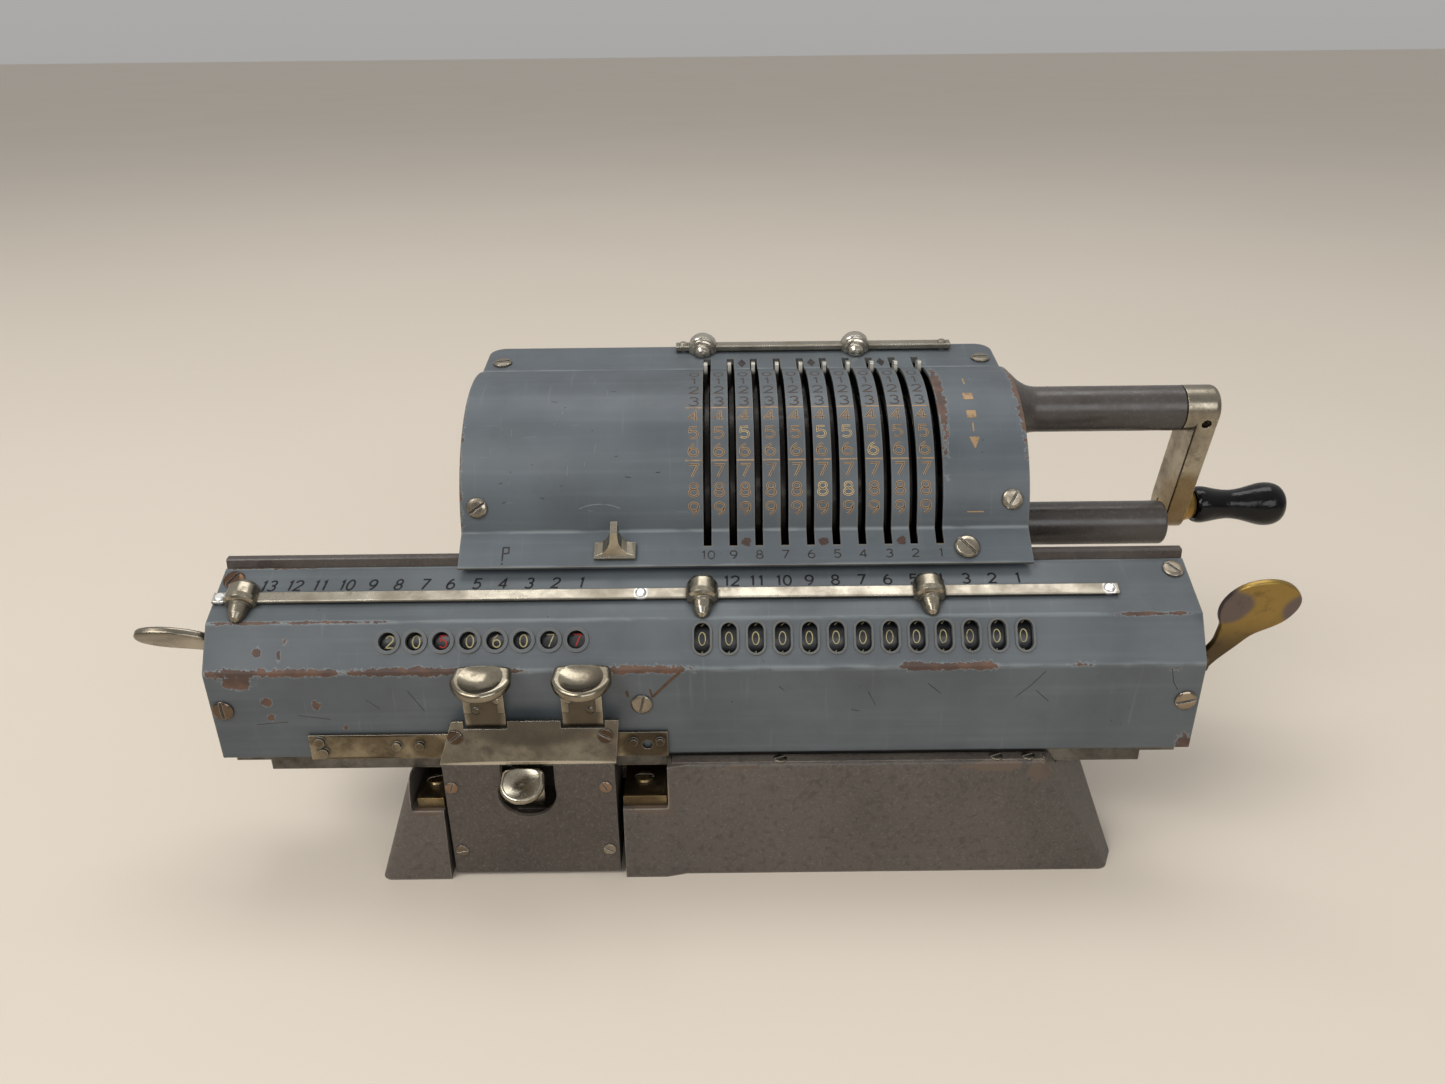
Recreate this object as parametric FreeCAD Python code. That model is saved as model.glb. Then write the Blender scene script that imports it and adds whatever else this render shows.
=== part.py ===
import FreeCAD, Part
import math
import os
from FreeCAD import Vector

# Pinwheel calculating machine: ten setting levers, eight counter digits, thirteen result digits.
# Millimetres. +Z up, +X to the right, the front faces -Y.
# Origin: centre of the base's footprint, on the table plane.

# ---------------------------------------------------------------- driving dimensions
PITCH = 7.5                     # distance between neighbouring digits, slots and carriage steps
DIGITS_SET = 10                 # setting levers
DIGITS_RESULT = 13
DIGITS_COUNT = 8

DRUM_Y = 9.2                    # drum axis
DRUM_Z = 91.5
TIP_R = 42.2                    # radius swept by the setting lever tips
SLOT_X1 = -11.7                 # leftmost setting slot
SLOT_W = 2.3
LEVER_REST = 98.9               # lever tip angle at zero, from the front horizontal

COVER_LEFT = -83.65             # drum cover, outside
COVER_RIGHT = 82.1
COVER_Y = 8.2                   # centre of the cover's arc
COVER_R = 40.0
SHEET = 1.0

CRANK_Y = 8.2                   # crank shaft axis
CRANK_Z = 119.0
REST_Z = 79.4                   # axis of the lower rest tube
CRANK_LEN = CRANK_Z - REST_Z
CRANK_BACK = 15.8               # the crank stands this many degrees behind its lock
TUBE_R = 7.15
TUBE_END = 137.3                # right end of the crank shaft's tube
REST_END = 138.1

DISC_R = 31.0                   # pinwheel disc, its setting ring and the ring's bore
RING_IN = 27.0
RING_OUT = 35.0
RING_W = 1.5
PINS = 9                        # setting pins in each pinwheel
PIN_STEP = 13.0                 # degrees between them
PIN_X = -2.8                    # the pins' plane, from the slot's middle
DRUM_SHAFT_R = 5.0
CRANK_SHAFT_R = 4.0
BUSH_R = 7.0
SPINDLE_R = 2.4                 # pull spindle of the handle
ARM_X = (141.2, 147.6)          # crank arm
ARM_W = 14.4
HUB_X = (TUBE_END + 0.4, 148.6)
COLLAR_X = (147.9, 152.3)
GRIP_X = (152.6, 183.0)

FLANGE_F = (-40.8, 89.3)        # front edge of the cover's flange (y, z)
FLANGE_TOWARDS = (-31.5, 96.3)  # the flange slopes up towards this point
CREASE_Y = 19.0                 # where the arc meets the flat top plate
PLATE_BACK = (36.6, 132.8)      # rear edge of the top plate
SLOT_BACK = 26.8                # the slots run this far back, for the tips' way round
TOP_RIVETS = (-19.6, 65.8)
TOP_RAIL_X = (-22.0, 68.6)
TOP_RAIL_Y = 33.4
TOP_RAIL_T = 1.8
TOP_RAIL_W = 3.6
TOP_RAIL_LIFT = 0.5
TOP_POINTERS_X = (-13.2, 37.2)
KNOB_X = (-44.4, -32.5)         # clearing knob on the flange
KNOB_TRAVEL = 3.0
REAR_R = 47.0                   # rear cover's arc, about the drum axis
REAR_Y = DRUM_Y + REAR_R

FRAME_FRONT = -31.0             # front edge of the side plates below the cover
CAR_CLEAR_Z = 94.8              # the side plates reach forward only above this height
LEFT_FRAME = (-81.0, -77.0)
RIGHT_FRAME = (69.4, 73.2)
CHEEK = (73.3, COVER_RIGHT + 0.25)
GEAR_X = 74.4                   # gear train between crank and drum
GEAR_W = 4.2
TRAIN_M = 1.0
TRAIN_N = 16
IDLER_N = 12
CRANK_PHASE = 0.0
DRUM_SHAFT_END = GEAR_X + GEAR_W

CAR_LEFT = -152.0               # carriage
CAR_RIGHT = 126.5
RIDGE = (-63.0, 68.4)           # front ridge of the carriage cover (y, z)
BEND = (-54.9, 80.0)            # bend between the window facet and the top facet
CAR_TOP = (-36.6, 88.0)         # rear top edge of the carriage cover
CAR_FOOT = (-62.4, 39.5)        # lower front edge of the carriage cover
CAR_BACK = -34.0                # rear face of the carriage
RESULT_X1 = -13.4               # leftmost result digit
COUNT_X1 = -100.9               # leftmost counter digit
WHEEL_R = 8.75
WHEEL_W = 5.2
GEAR_M = 1.2                    # register gears
GEAR_N = 10
IDLE_ANGLE = -28.0              # direction from number wheel to intermediate gear
CLEAR_Y, CLEAR_Z = -54.0, 64.0  # axis of the right clearing lever
CAR_SHEET = 1.2
END_T = 5.0                     # carriage end plates
WINDOW_UP = 8.55                # centre line of the windows, up the slope from the ridge
RAIL_UP = 8.2                   # pointer rail's centre line, up the slope from the bend
RAIL_W = 3.7
RAIL_T = 1.1
RAIL_LIFT = 0.4
RAIL_LEFT, RAIL_RIGHT = -151.8, 104.6
RAIL_RIVETS = (-149.9, -30.7, 102.0)
POINTERS_X = (-143.6, -13.3, 51.0)
RACK_Y = CAR_FOOT[0] - 0.35     # rear face of the rack strip
RACK_T = 0.8
STUD_H = 1.05

BASE_X = 110.0                  # half width of the footprint
BASE_Y = 69.3                   # half depth of the footprint
BASE_TOP = 37.7
BASE_WALL = 4.0

BOX_LEFT = -87.9                # escapement box
BOX_RIGHT = -38.8
BOX_FRONT = -67.8
BOX_BACK = -49.0
BOX_RIM = 40.3                  # upper edge of the box's front plate
CUT_X = (-71.4, -56.2)          # the release key's opening
KEY_LEFT = -74.4                # shift key stems
KEY_RIGHT = -47.1
STEM_W = 11.4
STEM_Y = (-65.55, -64.75)
STEM_STEP = 2.8                 # the stem is this much narrower on each side inside the box
PAD_SHIFT = 0.95                # thumb pads stand this far to the right of their stems
CHANNEL_Y = (-60.7, -51.3)      # channel in the base's top for the carriage guide
LEDGE_SCREWS_X = (8.6, 70.9, 80.2)
LEDGE_Y = -63.0
NOTCH_X = (-89.2, -37.1)        # notch in the base for the box
POCKET_X = (-98.5, -24.0)       # pocket in the base on both sides of the box
POCKET_Z = 24.0
BRACKET_SCREWS_X = (-93.2, -31.4)
BRACKET_SCREWS_Y = -57.0
PLATE_SCREWS = ((-88.0, -25.0), (86.0, -25.0), (-88.0, 34.0), (86.0, 34.0))
PLATE_Z = 1.2                   # underside of the bottom plate, height of the rubber feet

os.makedirs("parts", exist_ok=True)


# ---------------------------------------------------------------- helpers
def save(name, shape):
    shape.exportStep("parts/" + name + ".step")


def group(solids):
    return Part.makeCompound(solids)


def box(x0, x1, y0, y1, z0, z1):
    return Part.makeBox(x1 - x0, y1 - y0, z1 - z0, Vector(x0, y0, z0))


def rod(x0, x1, y, z, r):
    return Part.makeCylinder(r, x1 - x0, Vector(x0, y, z), Vector(1, 0, 0))


def tube(x0, x1, y, z, r_out, r_in):
    return rod(x0, x1, y, z, r_out).cut(rod(x0 - 1, x1 + 1, y, z, r_in))


def pin(point, direction, r, length):
    return Part.makeCylinder(r, length, Vector(*point), Vector(*direction))


def prism_x(points, x0, x1):
    corners = [Vector(x0, y, z) for y, z in points]
    face = Part.Face(Part.makePolygon(corners + corners[:1]))
    return face.extrude(Vector(x1 - x0, 0, 0))


def prism_edges(edges, x0, x1):
    face = Part.Face(Part.Wire(edges))
    return face.extrude(Vector(x1 - x0, 0, 0))


def revolve(profile, origin, axis, up):
    """Solid of revolution: profile holds (distance along axis, radius) pairs."""
    axis = Vector(*axis).normalize()
    up = Vector(*up).normalize()
    start = Vector(*origin)
    corners = [start + axis * t + up * r for t, r in profile]
    corners = [start + axis * profile[0][0]] + corners + [start + axis * profile[-1][0]]
    face = Part.Face(Part.makePolygon(corners + corners[:1]))
    return face.revolve(start, axis, 360)


def smooth_revolve(profile, origin, axis, up):
    """Solid of revolution whose side is one smooth curve through the profile points."""
    axis = Vector(*axis).normalize()
    up = Vector(*up).normalize()
    start = Vector(*origin)
    side = [start + axis * t + up * r for t, r in profile]
    first = start + axis * profile[0][0]
    last = start + axis * profile[-1][0]
    curve = Part.BSplineCurve()
    curve.interpolate(side)
    edges = [Part.makeLine(first, side[0]), curve.toShape(),
             Part.makeLine(side[-1], last), Part.makeLine(last, first)]
    return Part.Face(Part.Wire(edges)).revolve(start, axis, 360)


def facet(a, b):
    """Unit direction from a to b and the outward (front and up) normal, both as (y, z)."""
    length = math.hypot(b[0] - a[0], b[1] - a[1])
    along = ((b[0] - a[0]) / length, (b[1] - a[1]) / length)
    return along, (-along[1], along[0])


def offset_path(points, distance):
    """The same open path, moved by distance to the inside of the sheet."""
    moved = []
    for i, p in enumerate(points):
        normals = []
        if i > 0:
            normals.append(facet(points[i - 1], p)[1])
        if i < len(points) - 1:
            normals.append(facet(p, points[i + 1])[1])
        ny = sum(n[0] for n in normals)
        nz = sum(n[1] for n in normals)
        size = math.hypot(ny, nz)
        ny, nz = ny / size, nz / size
        miter = distance / (ny * normals[0][0] + nz * normals[0][1])
        moved.append((p[0] - ny * miter, p[1] - nz * miter))
    return moved


def line_meets_circle(point, along, centre, radius, last):
    """Point where a line leaves (last) or enters a circle, as (y, z)."""
    dy, dz = point[0] - centre[0], point[1] - centre[1]
    b = dy * along[0] + dz * along[1]
    root = math.sqrt(b * b - dy * dy - dz * dz + radius * radius)
    t = -b + root if last else -b - root
    return (point[0] + along[0] * t, point[1] + along[1] * t)


def slotted_screw(point, normal, slot_turn, r=3.0, head=1.0, shank=4.0):
    """Cheese-headed screw with a driver slot; point is the centre of the head's seat."""
    p = Vector(*point)
    n = Vector(*normal).normalize()
    side = n.cross(Vector(0, 0, 1))
    if side.Length < 0.1:
        side = Vector(1, 0, 0)
    side.normalize()
    dome = revolve([(0, r), (head * 0.55, r), (head * 0.85, r * 0.86), (head, r * 0.6)], p, n, side)
    body = Part.makeCylinder(r * 0.5, shank, p - n * shank, n)
    cut = Part.makeBox(3 * r, r * 0.26, head, Vector(-1.5 * r, -r * 0.13, 0))
    turn = FreeCAD.Rotation(Vector(0, 0, 1), n)
    cut.Placement = FreeCAD.Placement(p + n * (head * 0.45),
                                      turn.multiply(FreeCAD.Rotation(Vector(0, 0, 1), slot_turn)))
    return dome.fuse(body).removeSplitter().cut(cut)


def screw_hole(point, normal, r=3.0, depth=12.0):
    n = Vector(*normal).normalize()
    return Part.makeCylinder(r * 0.5, 2 * depth, Vector(*point) - n * depth, n)


def involute_gear(teeth, module, x0, width, y, z, phase, backlash):
    """Spur gear about an X axis; phase turns one tooth's middle away from +Y, in degrees."""
    pitch_r = teeth * module / 2
    base_r = pitch_r * math.cos(math.radians(20))
    tip_r = pitch_r + module * 0.92
    root_r = pitch_r - module * 1.2
    half = math.pi / (2 * teeth) - backlash / (2 * pitch_r)
    roll = math.sqrt((pitch_r / base_r) ** 2 - 1)
    half_base = half + roll - math.atan(roll)
    flank = []
    steps = 4
    start_r = max(base_r, root_r)
    for i in range(steps + 1):
        r = start_r + (tip_r - start_r) * i / steps
        t = math.sqrt(max((r / base_r) ** 2 - 1, 0))
        flank.append((r, half_base - (t - math.atan(t))))
    outline = []
    for k in range(teeth):
        middle = math.radians(phase) + 2 * math.pi * k / teeth
        low = [(root_r, flank[0][1])] if root_r < base_r else []
        right = [(r, middle - a) for r, a in low + flank]
        left = [(r, middle + a) for r, a in reversed(low + flank)]
        outline += right + left
    corners = [(y + r * math.cos(a), z + r * math.sin(a)) for r, a in outline]
    return prism_x(corners, x0, x0 + width)


def mesh_phase(teeth_a, phase_a, teeth_b, line):
    """Phase of gear b so that its gap faces gear a's tooth along the centre line (degrees)."""
    tooth_a = (line - phase_a) * teeth_a / 360.0
    return line + 180.0 + (tooth_a * 360.0 / teeth_b) + 180.0 / teeth_b


# ---------------------------------------------------------------- carriage section geometry
UP_CAR, OUT_CAR = facet(BEND, CAR_TOP)          # top facet with numerals and pointer rail
UP_WIN, OUT_WIN = facet(RIDGE, BEND)            # facet with the digit windows
UP_LOW, OUT_LOW = facet(CAR_FOOT, RIDGE)        # front face below the ridge
CAR_PATH = [CAR_FOOT, RIDGE, BEND, CAR_TOP]
WINDOW = (RIDGE[0] + UP_WIN[0] * WINDOW_UP, RIDGE[1] + UP_WIN[1] * WINDOW_UP)
WHEEL_C = (WINDOW[0] - OUT_WIN[0] * (CAR_SHEET + 0.5 + WHEEL_R),
           WINDOW[1] - OUT_WIN[1] * (CAR_SHEET + 0.5 + WHEEL_R))
IDLE_C = (WHEEL_C[0] + GEAR_M * GEAR_N * math.cos(math.radians(IDLE_ANGLE)),
          WHEEL_C[1] + GEAR_M * GEAR_N * math.sin(math.radians(IDLE_ANGLE)))
RESULT_X = [RESULT_X1 + PITCH * i for i in range(DIGITS_RESULT)]
COUNT_X = [COUNT_X1 + PITCH * i for i in range(DIGITS_COUNT)]
SLOTS_X = [SLOT_X1 + PITCH * i for i in range(DIGITS_SET)]


def on_facet(origin, up, out, distance, height):
    """Point on a facet: distance up the slope from origin, height above its surface."""
    return (origin[0] + up[0] * distance + out[0] * height,
            origin[1] + up[1] * distance + out[1] * height)


def normal_x(out):
    return (0, out[0], out[1])


# ---------------------------------------------------------------- carriage
CAR_SCREWS = [((-148.4,) + on_facet(BEND, UP_CAR, OUT_CAR, 15.6, 0), normal_x(OUT_CAR), 62),
              ((122.6,) + on_facet(BEND, UP_CAR, OUT_CAR, 15.9, 0), normal_x(OUT_CAR), 128),
              ((-148.6,) + on_facet(CAR_FOOT, UP_LOW, OUT_LOW, 16.9, 0), normal_x(OUT_LOW), 92),
              ((122.6,) + on_facet(CAR_FOOT, UP_LOW, OUT_LOW, 16.9, 0), normal_x(OUT_LOW), 14),
              ((-30.6,) + on_facet(CAR_FOOT, UP_LOW, OUT_LOW, 17.6, 0), normal_x(OUT_LOW), 76)]


def carriage_cover():
    inner = offset_path(CAR_PATH, CAR_SHEET)
    lip = [(CAR_FOOT[0] + 7.5, CAR_FOOT[1]), (CAR_FOOT[0] + 7.5, CAR_FOOT[1] + CAR_SHEET)]
    shell = prism_x(lip[:1] + CAR_PATH + list(reversed(inner[1:])) +
                    [(inner[0][0], CAR_FOOT[1] + CAR_SHEET)] + lip[1:], CAR_LEFT, CAR_RIGHT)
    bent = [e for e in shell.Edges if len(e.Vertexes) == 2 and e.Length > 200
            and any(math.hypot(e.Vertexes[0].Y - p[0], e.Vertexes[0].Z - p[1]) < 0.01
                    for p in (RIDGE, BEND, CAR_FOOT))]
    shell = shell.makeFillet(0.9, bent)
    seat = on_facet(RIDGE, UP_WIN, OUT_WIN, WINDOW_UP, 0)
    out = Vector(0, OUT_WIN[0], OUT_WIN[1])
    up = Vector(0, UP_WIN[0], UP_WIN[1])
    rims = []
    holes = []
    for x in RESULT_X:
        middle = Vector(x, seat[0], seat[1])
        rims.append(stadium(middle - out * 0.4, out, up, 2.85, 4.0, 0.4 + 0.45))
        holes.append(stadium(middle - out * 4, out, up, 2.2, 3.35, 8))
    for x in COUNT_X:
        middle = Vector(x, seat[0], seat[1])
        rims.append(Part.makeCylinder(3.55, 0.4 + 0.4, middle - out * 0.4, out))
        holes.append(Part.makeCylinder(2.55, 8, middle - out * 4, out))
    shell = shell.fuse(rims).removeSplitter()
    holes += [screw_hole(p, n, 3.05) for p, n, _ in CAR_SCREWS]
    for x in RAIL_RIVETS:
        p = on_facet(BEND, UP_CAR, OUT_CAR, RAIL_UP, 0)
        holes.append(screw_hole((x,) + p, normal_x(OUT_CAR), 2.1, 4))
    return shell.cut(holes)


def stadium(start, out, up, r, half, height):
    """Straight-sided oval prism: half is the distance from its centre to each round end's centre,
    r the end radius."""
    half = half - r + 0.9
    side = out.cross(up)
    a = start + up * half
    b = start - up * half
    edges = [Part.makeLine(b + side * r, a + side * r),
             Part.Arc(a + side * r, a + up * r, a - side * r).toShape(),
             Part.makeLine(a - side * r, b - side * r),
             Part.Arc(b - side * r, b - up * r, b + side * r).toShape()]
    return Part.Face(Part.Wire(edges)).extrude(out * height)


def carriage_end(x0, bores):
    inner = offset_path(CAR_PATH, CAR_SHEET + 0.05)
    outline = [(inner[0][0], CAR_FOOT[1] + 1.3)] + inner[1:3]
    outline += [on_facet(inner[2], UP_CAR, OUT_CAR, 18.4, 0), (-37.3, 79.9), (CAR_BACK, 79.9)]
    outline += [(CAR_BACK, 46.0), (-54.45, 46.0), (-54.45, CAR_FOOT[1] + 1.3)]
    plate = prism_x(outline, x0, x0 + END_T)
    plate = plate.cut([rod(x0 - 1, x0 + END_T + 1, y, z, r) for y, z, r in bores])
    rivets = [((x,) + on_facet(BEND, UP_CAR, OUT_CAR, RAIL_UP, 0), normal_x(OUT_CAR)) for x in RAIL_RIVETS]
    holes = [screw_hole(p, n, 3.1, 6) for p, n, _ in CAR_SCREWS]
    return plate.cut(holes + [screw_hole(p, n, 2.1, 4) for p, n in rivets])


def carriage_bed():
    floor = box(CAR_LEFT + 0.2, CAR_RIGHT - 0.2, -54.3, CAR_BACK, 40.8, 45.9)
    wall = box(CAR_LEFT + 0.2, CAR_RIGHT - 0.2, CAR_BACK - 3, CAR_BACK, 45.9, 50.0)
    wall = wall.cut([box(CAR_LEFT, CAR_LEFT + END_T + 0.6, -60, -30, 45.9, 60),
                     box(CAR_RIGHT - END_T - 0.6, CAR_RIGHT, -60, -30, 45.9, 60)])
    guide = box(-139.7, 113.6, -60.0, -52.0, 34.0, 39.4)
    lip = box(-149.5, 123.5, -60.0, -52.0, 37.3, 39.4)
    neck = box(-139.7, 113.6, -54.2, -52.0, 39.4, 41.0)
    lug = box(-139.7, 113.6, -60.0, -54.0, 40.75, 44.0).fuse(box(-139.7, 113.6, -54.3, -52, 40.8, 45.9))
    return floor.fuse([wall, guide, lip, neck, lug]).removeSplitter()


def carriage_top_bar():
    section = [(-36.05, 80.0), (-36.05, 86.9), (-36.5, 88.02), (-36.2, 90.4), (-35.8, 90.75), (CAR_BACK, 90.9),
               (CAR_BACK, 80.0)]
    return prism_x(section, CAR_LEFT + 0.3, CAR_RIGHT - 0.3)


def register_shafts():
    wheel = rod(CAR_LEFT + 0.6, CAR_RIGHT - 0.4, WHEEL_C[0], WHEEL_C[1], 1.95)
    idle = rod(CAR_LEFT + 0.6, CAR_RIGHT - 0.4, IDLE_C[0], IDLE_C[1], 1.95)
    return group([wheel, idle])


def number_wheel(x, spin):
    drum = rod(x - WHEEL_W / 2, x + WHEEL_W / 2, WHEEL_C[0], WHEEL_C[1], WHEEL_R)
    rim = drum.makeFillet(0.4, [e for e in drum.Edges if e.Length > 40 and e.Closed])
    gear = involute_gear(GEAR_N, GEAR_M, x + WHEEL_W / 2, 1.5, WHEEL_C[0], WHEEL_C[1], spin, 0.25)
    wheel = rim.fuse(gear)
    return wheel.cut(rod(x - 5, x + 6, WHEEL_C[0], WHEEL_C[1], 2.0))


def intermediate_gears():
    phase = mesh_phase(GEAR_N, 0.0, GEAR_N, IDLE_ANGLE)
    gears = []
    for x in RESULT_X:
        gear = involute_gear(GEAR_N, GEAR_M, x + WHEEL_W / 2 + 0.1, 1.3, IDLE_C[0], IDLE_C[1], phase, 0.25)
        hub = rod(x - 2.2, x + WHEEL_W / 2 + 0.2, IDLE_C[0], IDLE_C[1], 2.9)
        gears.append(gear.fuse(hub).cut(rod(x - 5, x + 6, IDLE_C[0], IDLE_C[1], 2.0)))
    return group(gears)


def pointer_rail():
    base = on_facet(BEND, UP_CAR, OUT_CAR, RAIL_UP, 0)
    out = Vector(0, OUT_CAR[0], OUT_CAR[1])
    up = Vector(0, UP_CAR[0], UP_CAR[1])
    corner = Vector(RAIL_LEFT, base[0], base[1]) - up * (RAIL_W / 2) + out * RAIL_LIFT
    bar = Part.Face(Part.makePolygon([corner, corner + up * RAIL_W,
                                      corner + up * RAIL_W + out * RAIL_T, corner + out * RAIL_T,
                                      corner])).extrude(Vector(RAIL_RIGHT - RAIL_LEFT, 0, 0))
    bar = bar.makeChamfer(0.3, [e for e in bar.Edges if e.Length > 100])
    solids = []
    for x in RAIL_RIVETS:
        seat = Vector(x, base[0], base[1])
        bar = bar.cut(Part.makeCylinder(1.04, 6, seat - out * 2, out))
        foot = Part.makeCylinder(1.6, RAIL_LIFT, seat, out)
        shank = Part.makeCylinder(1.0, 4.2, seat - out * 2.2, out)
        head = revolve([(0, 1.5), (0.25, 1.5), (0.6, 1.0)], seat + out * (RAIL_LIFT + RAIL_T), out, up)
        solids.append(shank.fuse([foot, head]).removeSplitter())
    return group([bar] + solids)


# turned shapes of the pointers: (distance down the slope from the rail's middle, radius)
POINTER_PROFILE = [(-4.4, 2.7), (-4.0, 3.7), (-2.6, 4.5), (0.9, 4.7), (2.3, 4.5), (2.9, 3.8), (3.1, 2.9),
                   (4.3, 2.75), (6.3, 2.3), (7.9, 1.4), (8.6, 0.5)]
TOP_POINTER_PROFILE = [(-3.2, 2.8), (-2.8, 4.2), (-1.8, 4.7), (1.6, 4.7), (2.0, 4.4), (2.2, 3.9), (3.0, 3.9),
                       (3.3, 3.3), (3.4, 2.8), (4.8, 2.5), (5.8, 1.7), (6.2, 0.6)]


def rail_pointer(profile, seat, up, out, rail_low, rail_high, rail_w):
    """Sliding pointer: a bulged saddle over the rail with a bullet tip pointing down the slope.
    rail_low and rail_high are the rail's faces above the sheet."""
    lift = 0.9
    spin = revolve(profile, seat + out * lift, (-up.x, -up.y, -up.z), (out.x, out.y, out.z))
    flat = Part.makeBox(20, 20, 10, Vector(-10, -10, -10))
    turn = FreeCAD.Rotation(Vector(1, 0, 0), up, out, "XZY")
    flat.Placement = FreeCAD.Placement(seat + out * 0.12, turn)
    body = spin.cut(flat)
    gap = 0.06
    channel = Part.makeBox(20, rail_w + 2 * gap, rail_high - rail_low + 2 * gap,
                           Vector(-10, -rail_w / 2 - gap, rail_low - gap))
    channel.Placement = FreeCAD.Placement(seat, turn)
    slit = Part.makeBox(20, 3.3, rail_low, Vector(-10, -1.65, 0))
    slit.Placement = FreeCAD.Placement(seat, turn)
    return body.cut([channel, slit])


def carriage_pointer(x):
    base = on_facet(BEND, UP_CAR, OUT_CAR, RAIL_UP, 0)
    return rail_pointer(POINTER_PROFILE, Vector(x, base[0], base[1]), Vector(0, UP_CAR[0], UP_CAR[1]),
                        Vector(0, OUT_CAR[0], OUT_CAR[1]), RAIL_LIFT, RAIL_LIFT + RAIL_T, RAIL_W)


def rack_strip():
    strip = box(-126.0, -23.6, RACK_Y - RACK_T, RACK_Y, 39.8, 48.0)
    solids = [strip]
    for x, z, r in ((-101.0, 44.4, 1.3), (-94.4, 44.4, 1.3), (-33.4, 45.0, 1.2), (-25.8, 45.0, 1.2),
                    (-122.8, 46.0, 1.5), (-122.2, 42.3, 1.5)):
        solids[0] = solids[0].cut(pin((x, -70, z), (0, 1, 0), r * 0.7, 20))
        stud = pin((x, RACK_Y - RACK_T, z), (0, -1, 0), r, STUD_H)
        solids.append(stud.fuse(pin((x, RACK_Y - RACK_T, z), (0, 1, 0), r * 0.66, RACK_T)))
    solids[0] = solids[0].cut(pin((-29.5, -70, 43.8), (0, 1, 0), 1.5, 20))
    return group(solids)


def blade(outline, thickness, x_sign, x_root, centre, angle):
    """Flat thumb lever: outline holds (distance outward along X, distance from the shaft) points,
    joined by a smooth closed curve; angle turns it up from the front horizontal."""
    out = Vector(0, -math.cos(math.radians(angle)), math.sin(math.radians(angle)))
    face_n = Vector(1, 0, 0).cross(out)
    points = [Vector(x_root + x_sign * a, centre[0], centre[1]) + out * b for a, b in outline]
    curve = Part.BSplineCurve()
    curve.interpolate(points, PeriodicFlag=True)
    face = Part.Face(Part.Wire([curve.toShape()]))
    face.translate(face_n * (-thickness / 2))
    solid = face.extrude(face_n * thickness)
    return solid.makeFillet(thickness * 0.32, [e for e in solid.Edges if e.Length > 20])


def clear_lever_left():
    outline = [(1.5, 6.8), (6.0, 9.6), (11.3, 11.0), (17.2, 11.0), (21.0, 8.7), (20.9, 6.2), (18.8, 4.0),
               (14.0, 2.0), (9.1, 1.0), (5.0, 0.1), (1.4, -0.4)]
    leaf = blade(outline, 2.6, -1, CAR_LEFT, WHEEL_C, 56.0)
    boss = rod(CAR_LEFT - 3.0, CAR_LEFT - 0.4, WHEEL_C[0], WHEEL_C[1], 2.2)
    return leaf.fuse(boss).removeSplitter()


def clear_lever_right():
    outline = [(2.4, 17.1), (0.9, 22.6), (1.8, 27.2), (4.8, 31.2), (9.6, 33.1), (15.2, 32.6), (19.5, 29.7),
               (22.0, 25.2), (21.6, 21.0), (19.6, 17.2), (16.1, 14.3), (13.0, 11.9), (10.6, 8.0), (8.0, 3.5),
               (5.6, -1.5), (3.8, -4.6), (1.8, -5.0), (0.9, -2.0), (1.6, 3.5), (3.2, 8.5), (3.2, 12.5)]
    leaf = blade(outline, 2.0, 1, CAR_RIGHT, (CLEAR_Y, CLEAR_Z), 70.0)
    boss = rod(CAR_RIGHT + 0.4, CAR_RIGHT + 3.6, CLEAR_Y, CLEAR_Z, 3.2)
    stub = rod(CAR_RIGHT - END_T - 2.5, CAR_RIGHT + 0.5, CLEAR_Y, CLEAR_Z, 1.95)
    return leaf.fuse([boss, stub]).removeSplitter()


# ---------------------------------------------------------------- base and frame
def frustum(bottom, top, z0, z1):
    low = Part.makePolygon([Vector(x, y, z0) for x, y in bottom + bottom[:1]])
    high = Part.makePolygon([Vector(x, y, z1) for x, y in top + top[:1]])
    return Part.makeLoft([low, high], True, True)


FOOT_BOTTOM = [(-BASE_X, -68.0), (106.0, -68.0), (BASE_X, -60.0), (BASE_X, BASE_Y), (-BASE_X, BASE_Y)]
# the left foot and the pad beside the box stand a little forward of the main face
PAD_BOTTOM = [(-BASE_X, -BASE_Y), (-25.0, -BASE_Y), (-18.5, -67.9), (-18.5, -50.0), (-BASE_X, -50.0)]
PAD_TOP = [(-97.6, -66.7), (-25.0, -66.7), (-18.5, -65.3), (-18.5, -50.0), (-97.6, -50.0)]
FOOT_TOP = [(-97.6, -65.4), (83.5, -65.4), (97.0, -45.0), (97.0, 58.0), (-97.6, 58.0)]


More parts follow.
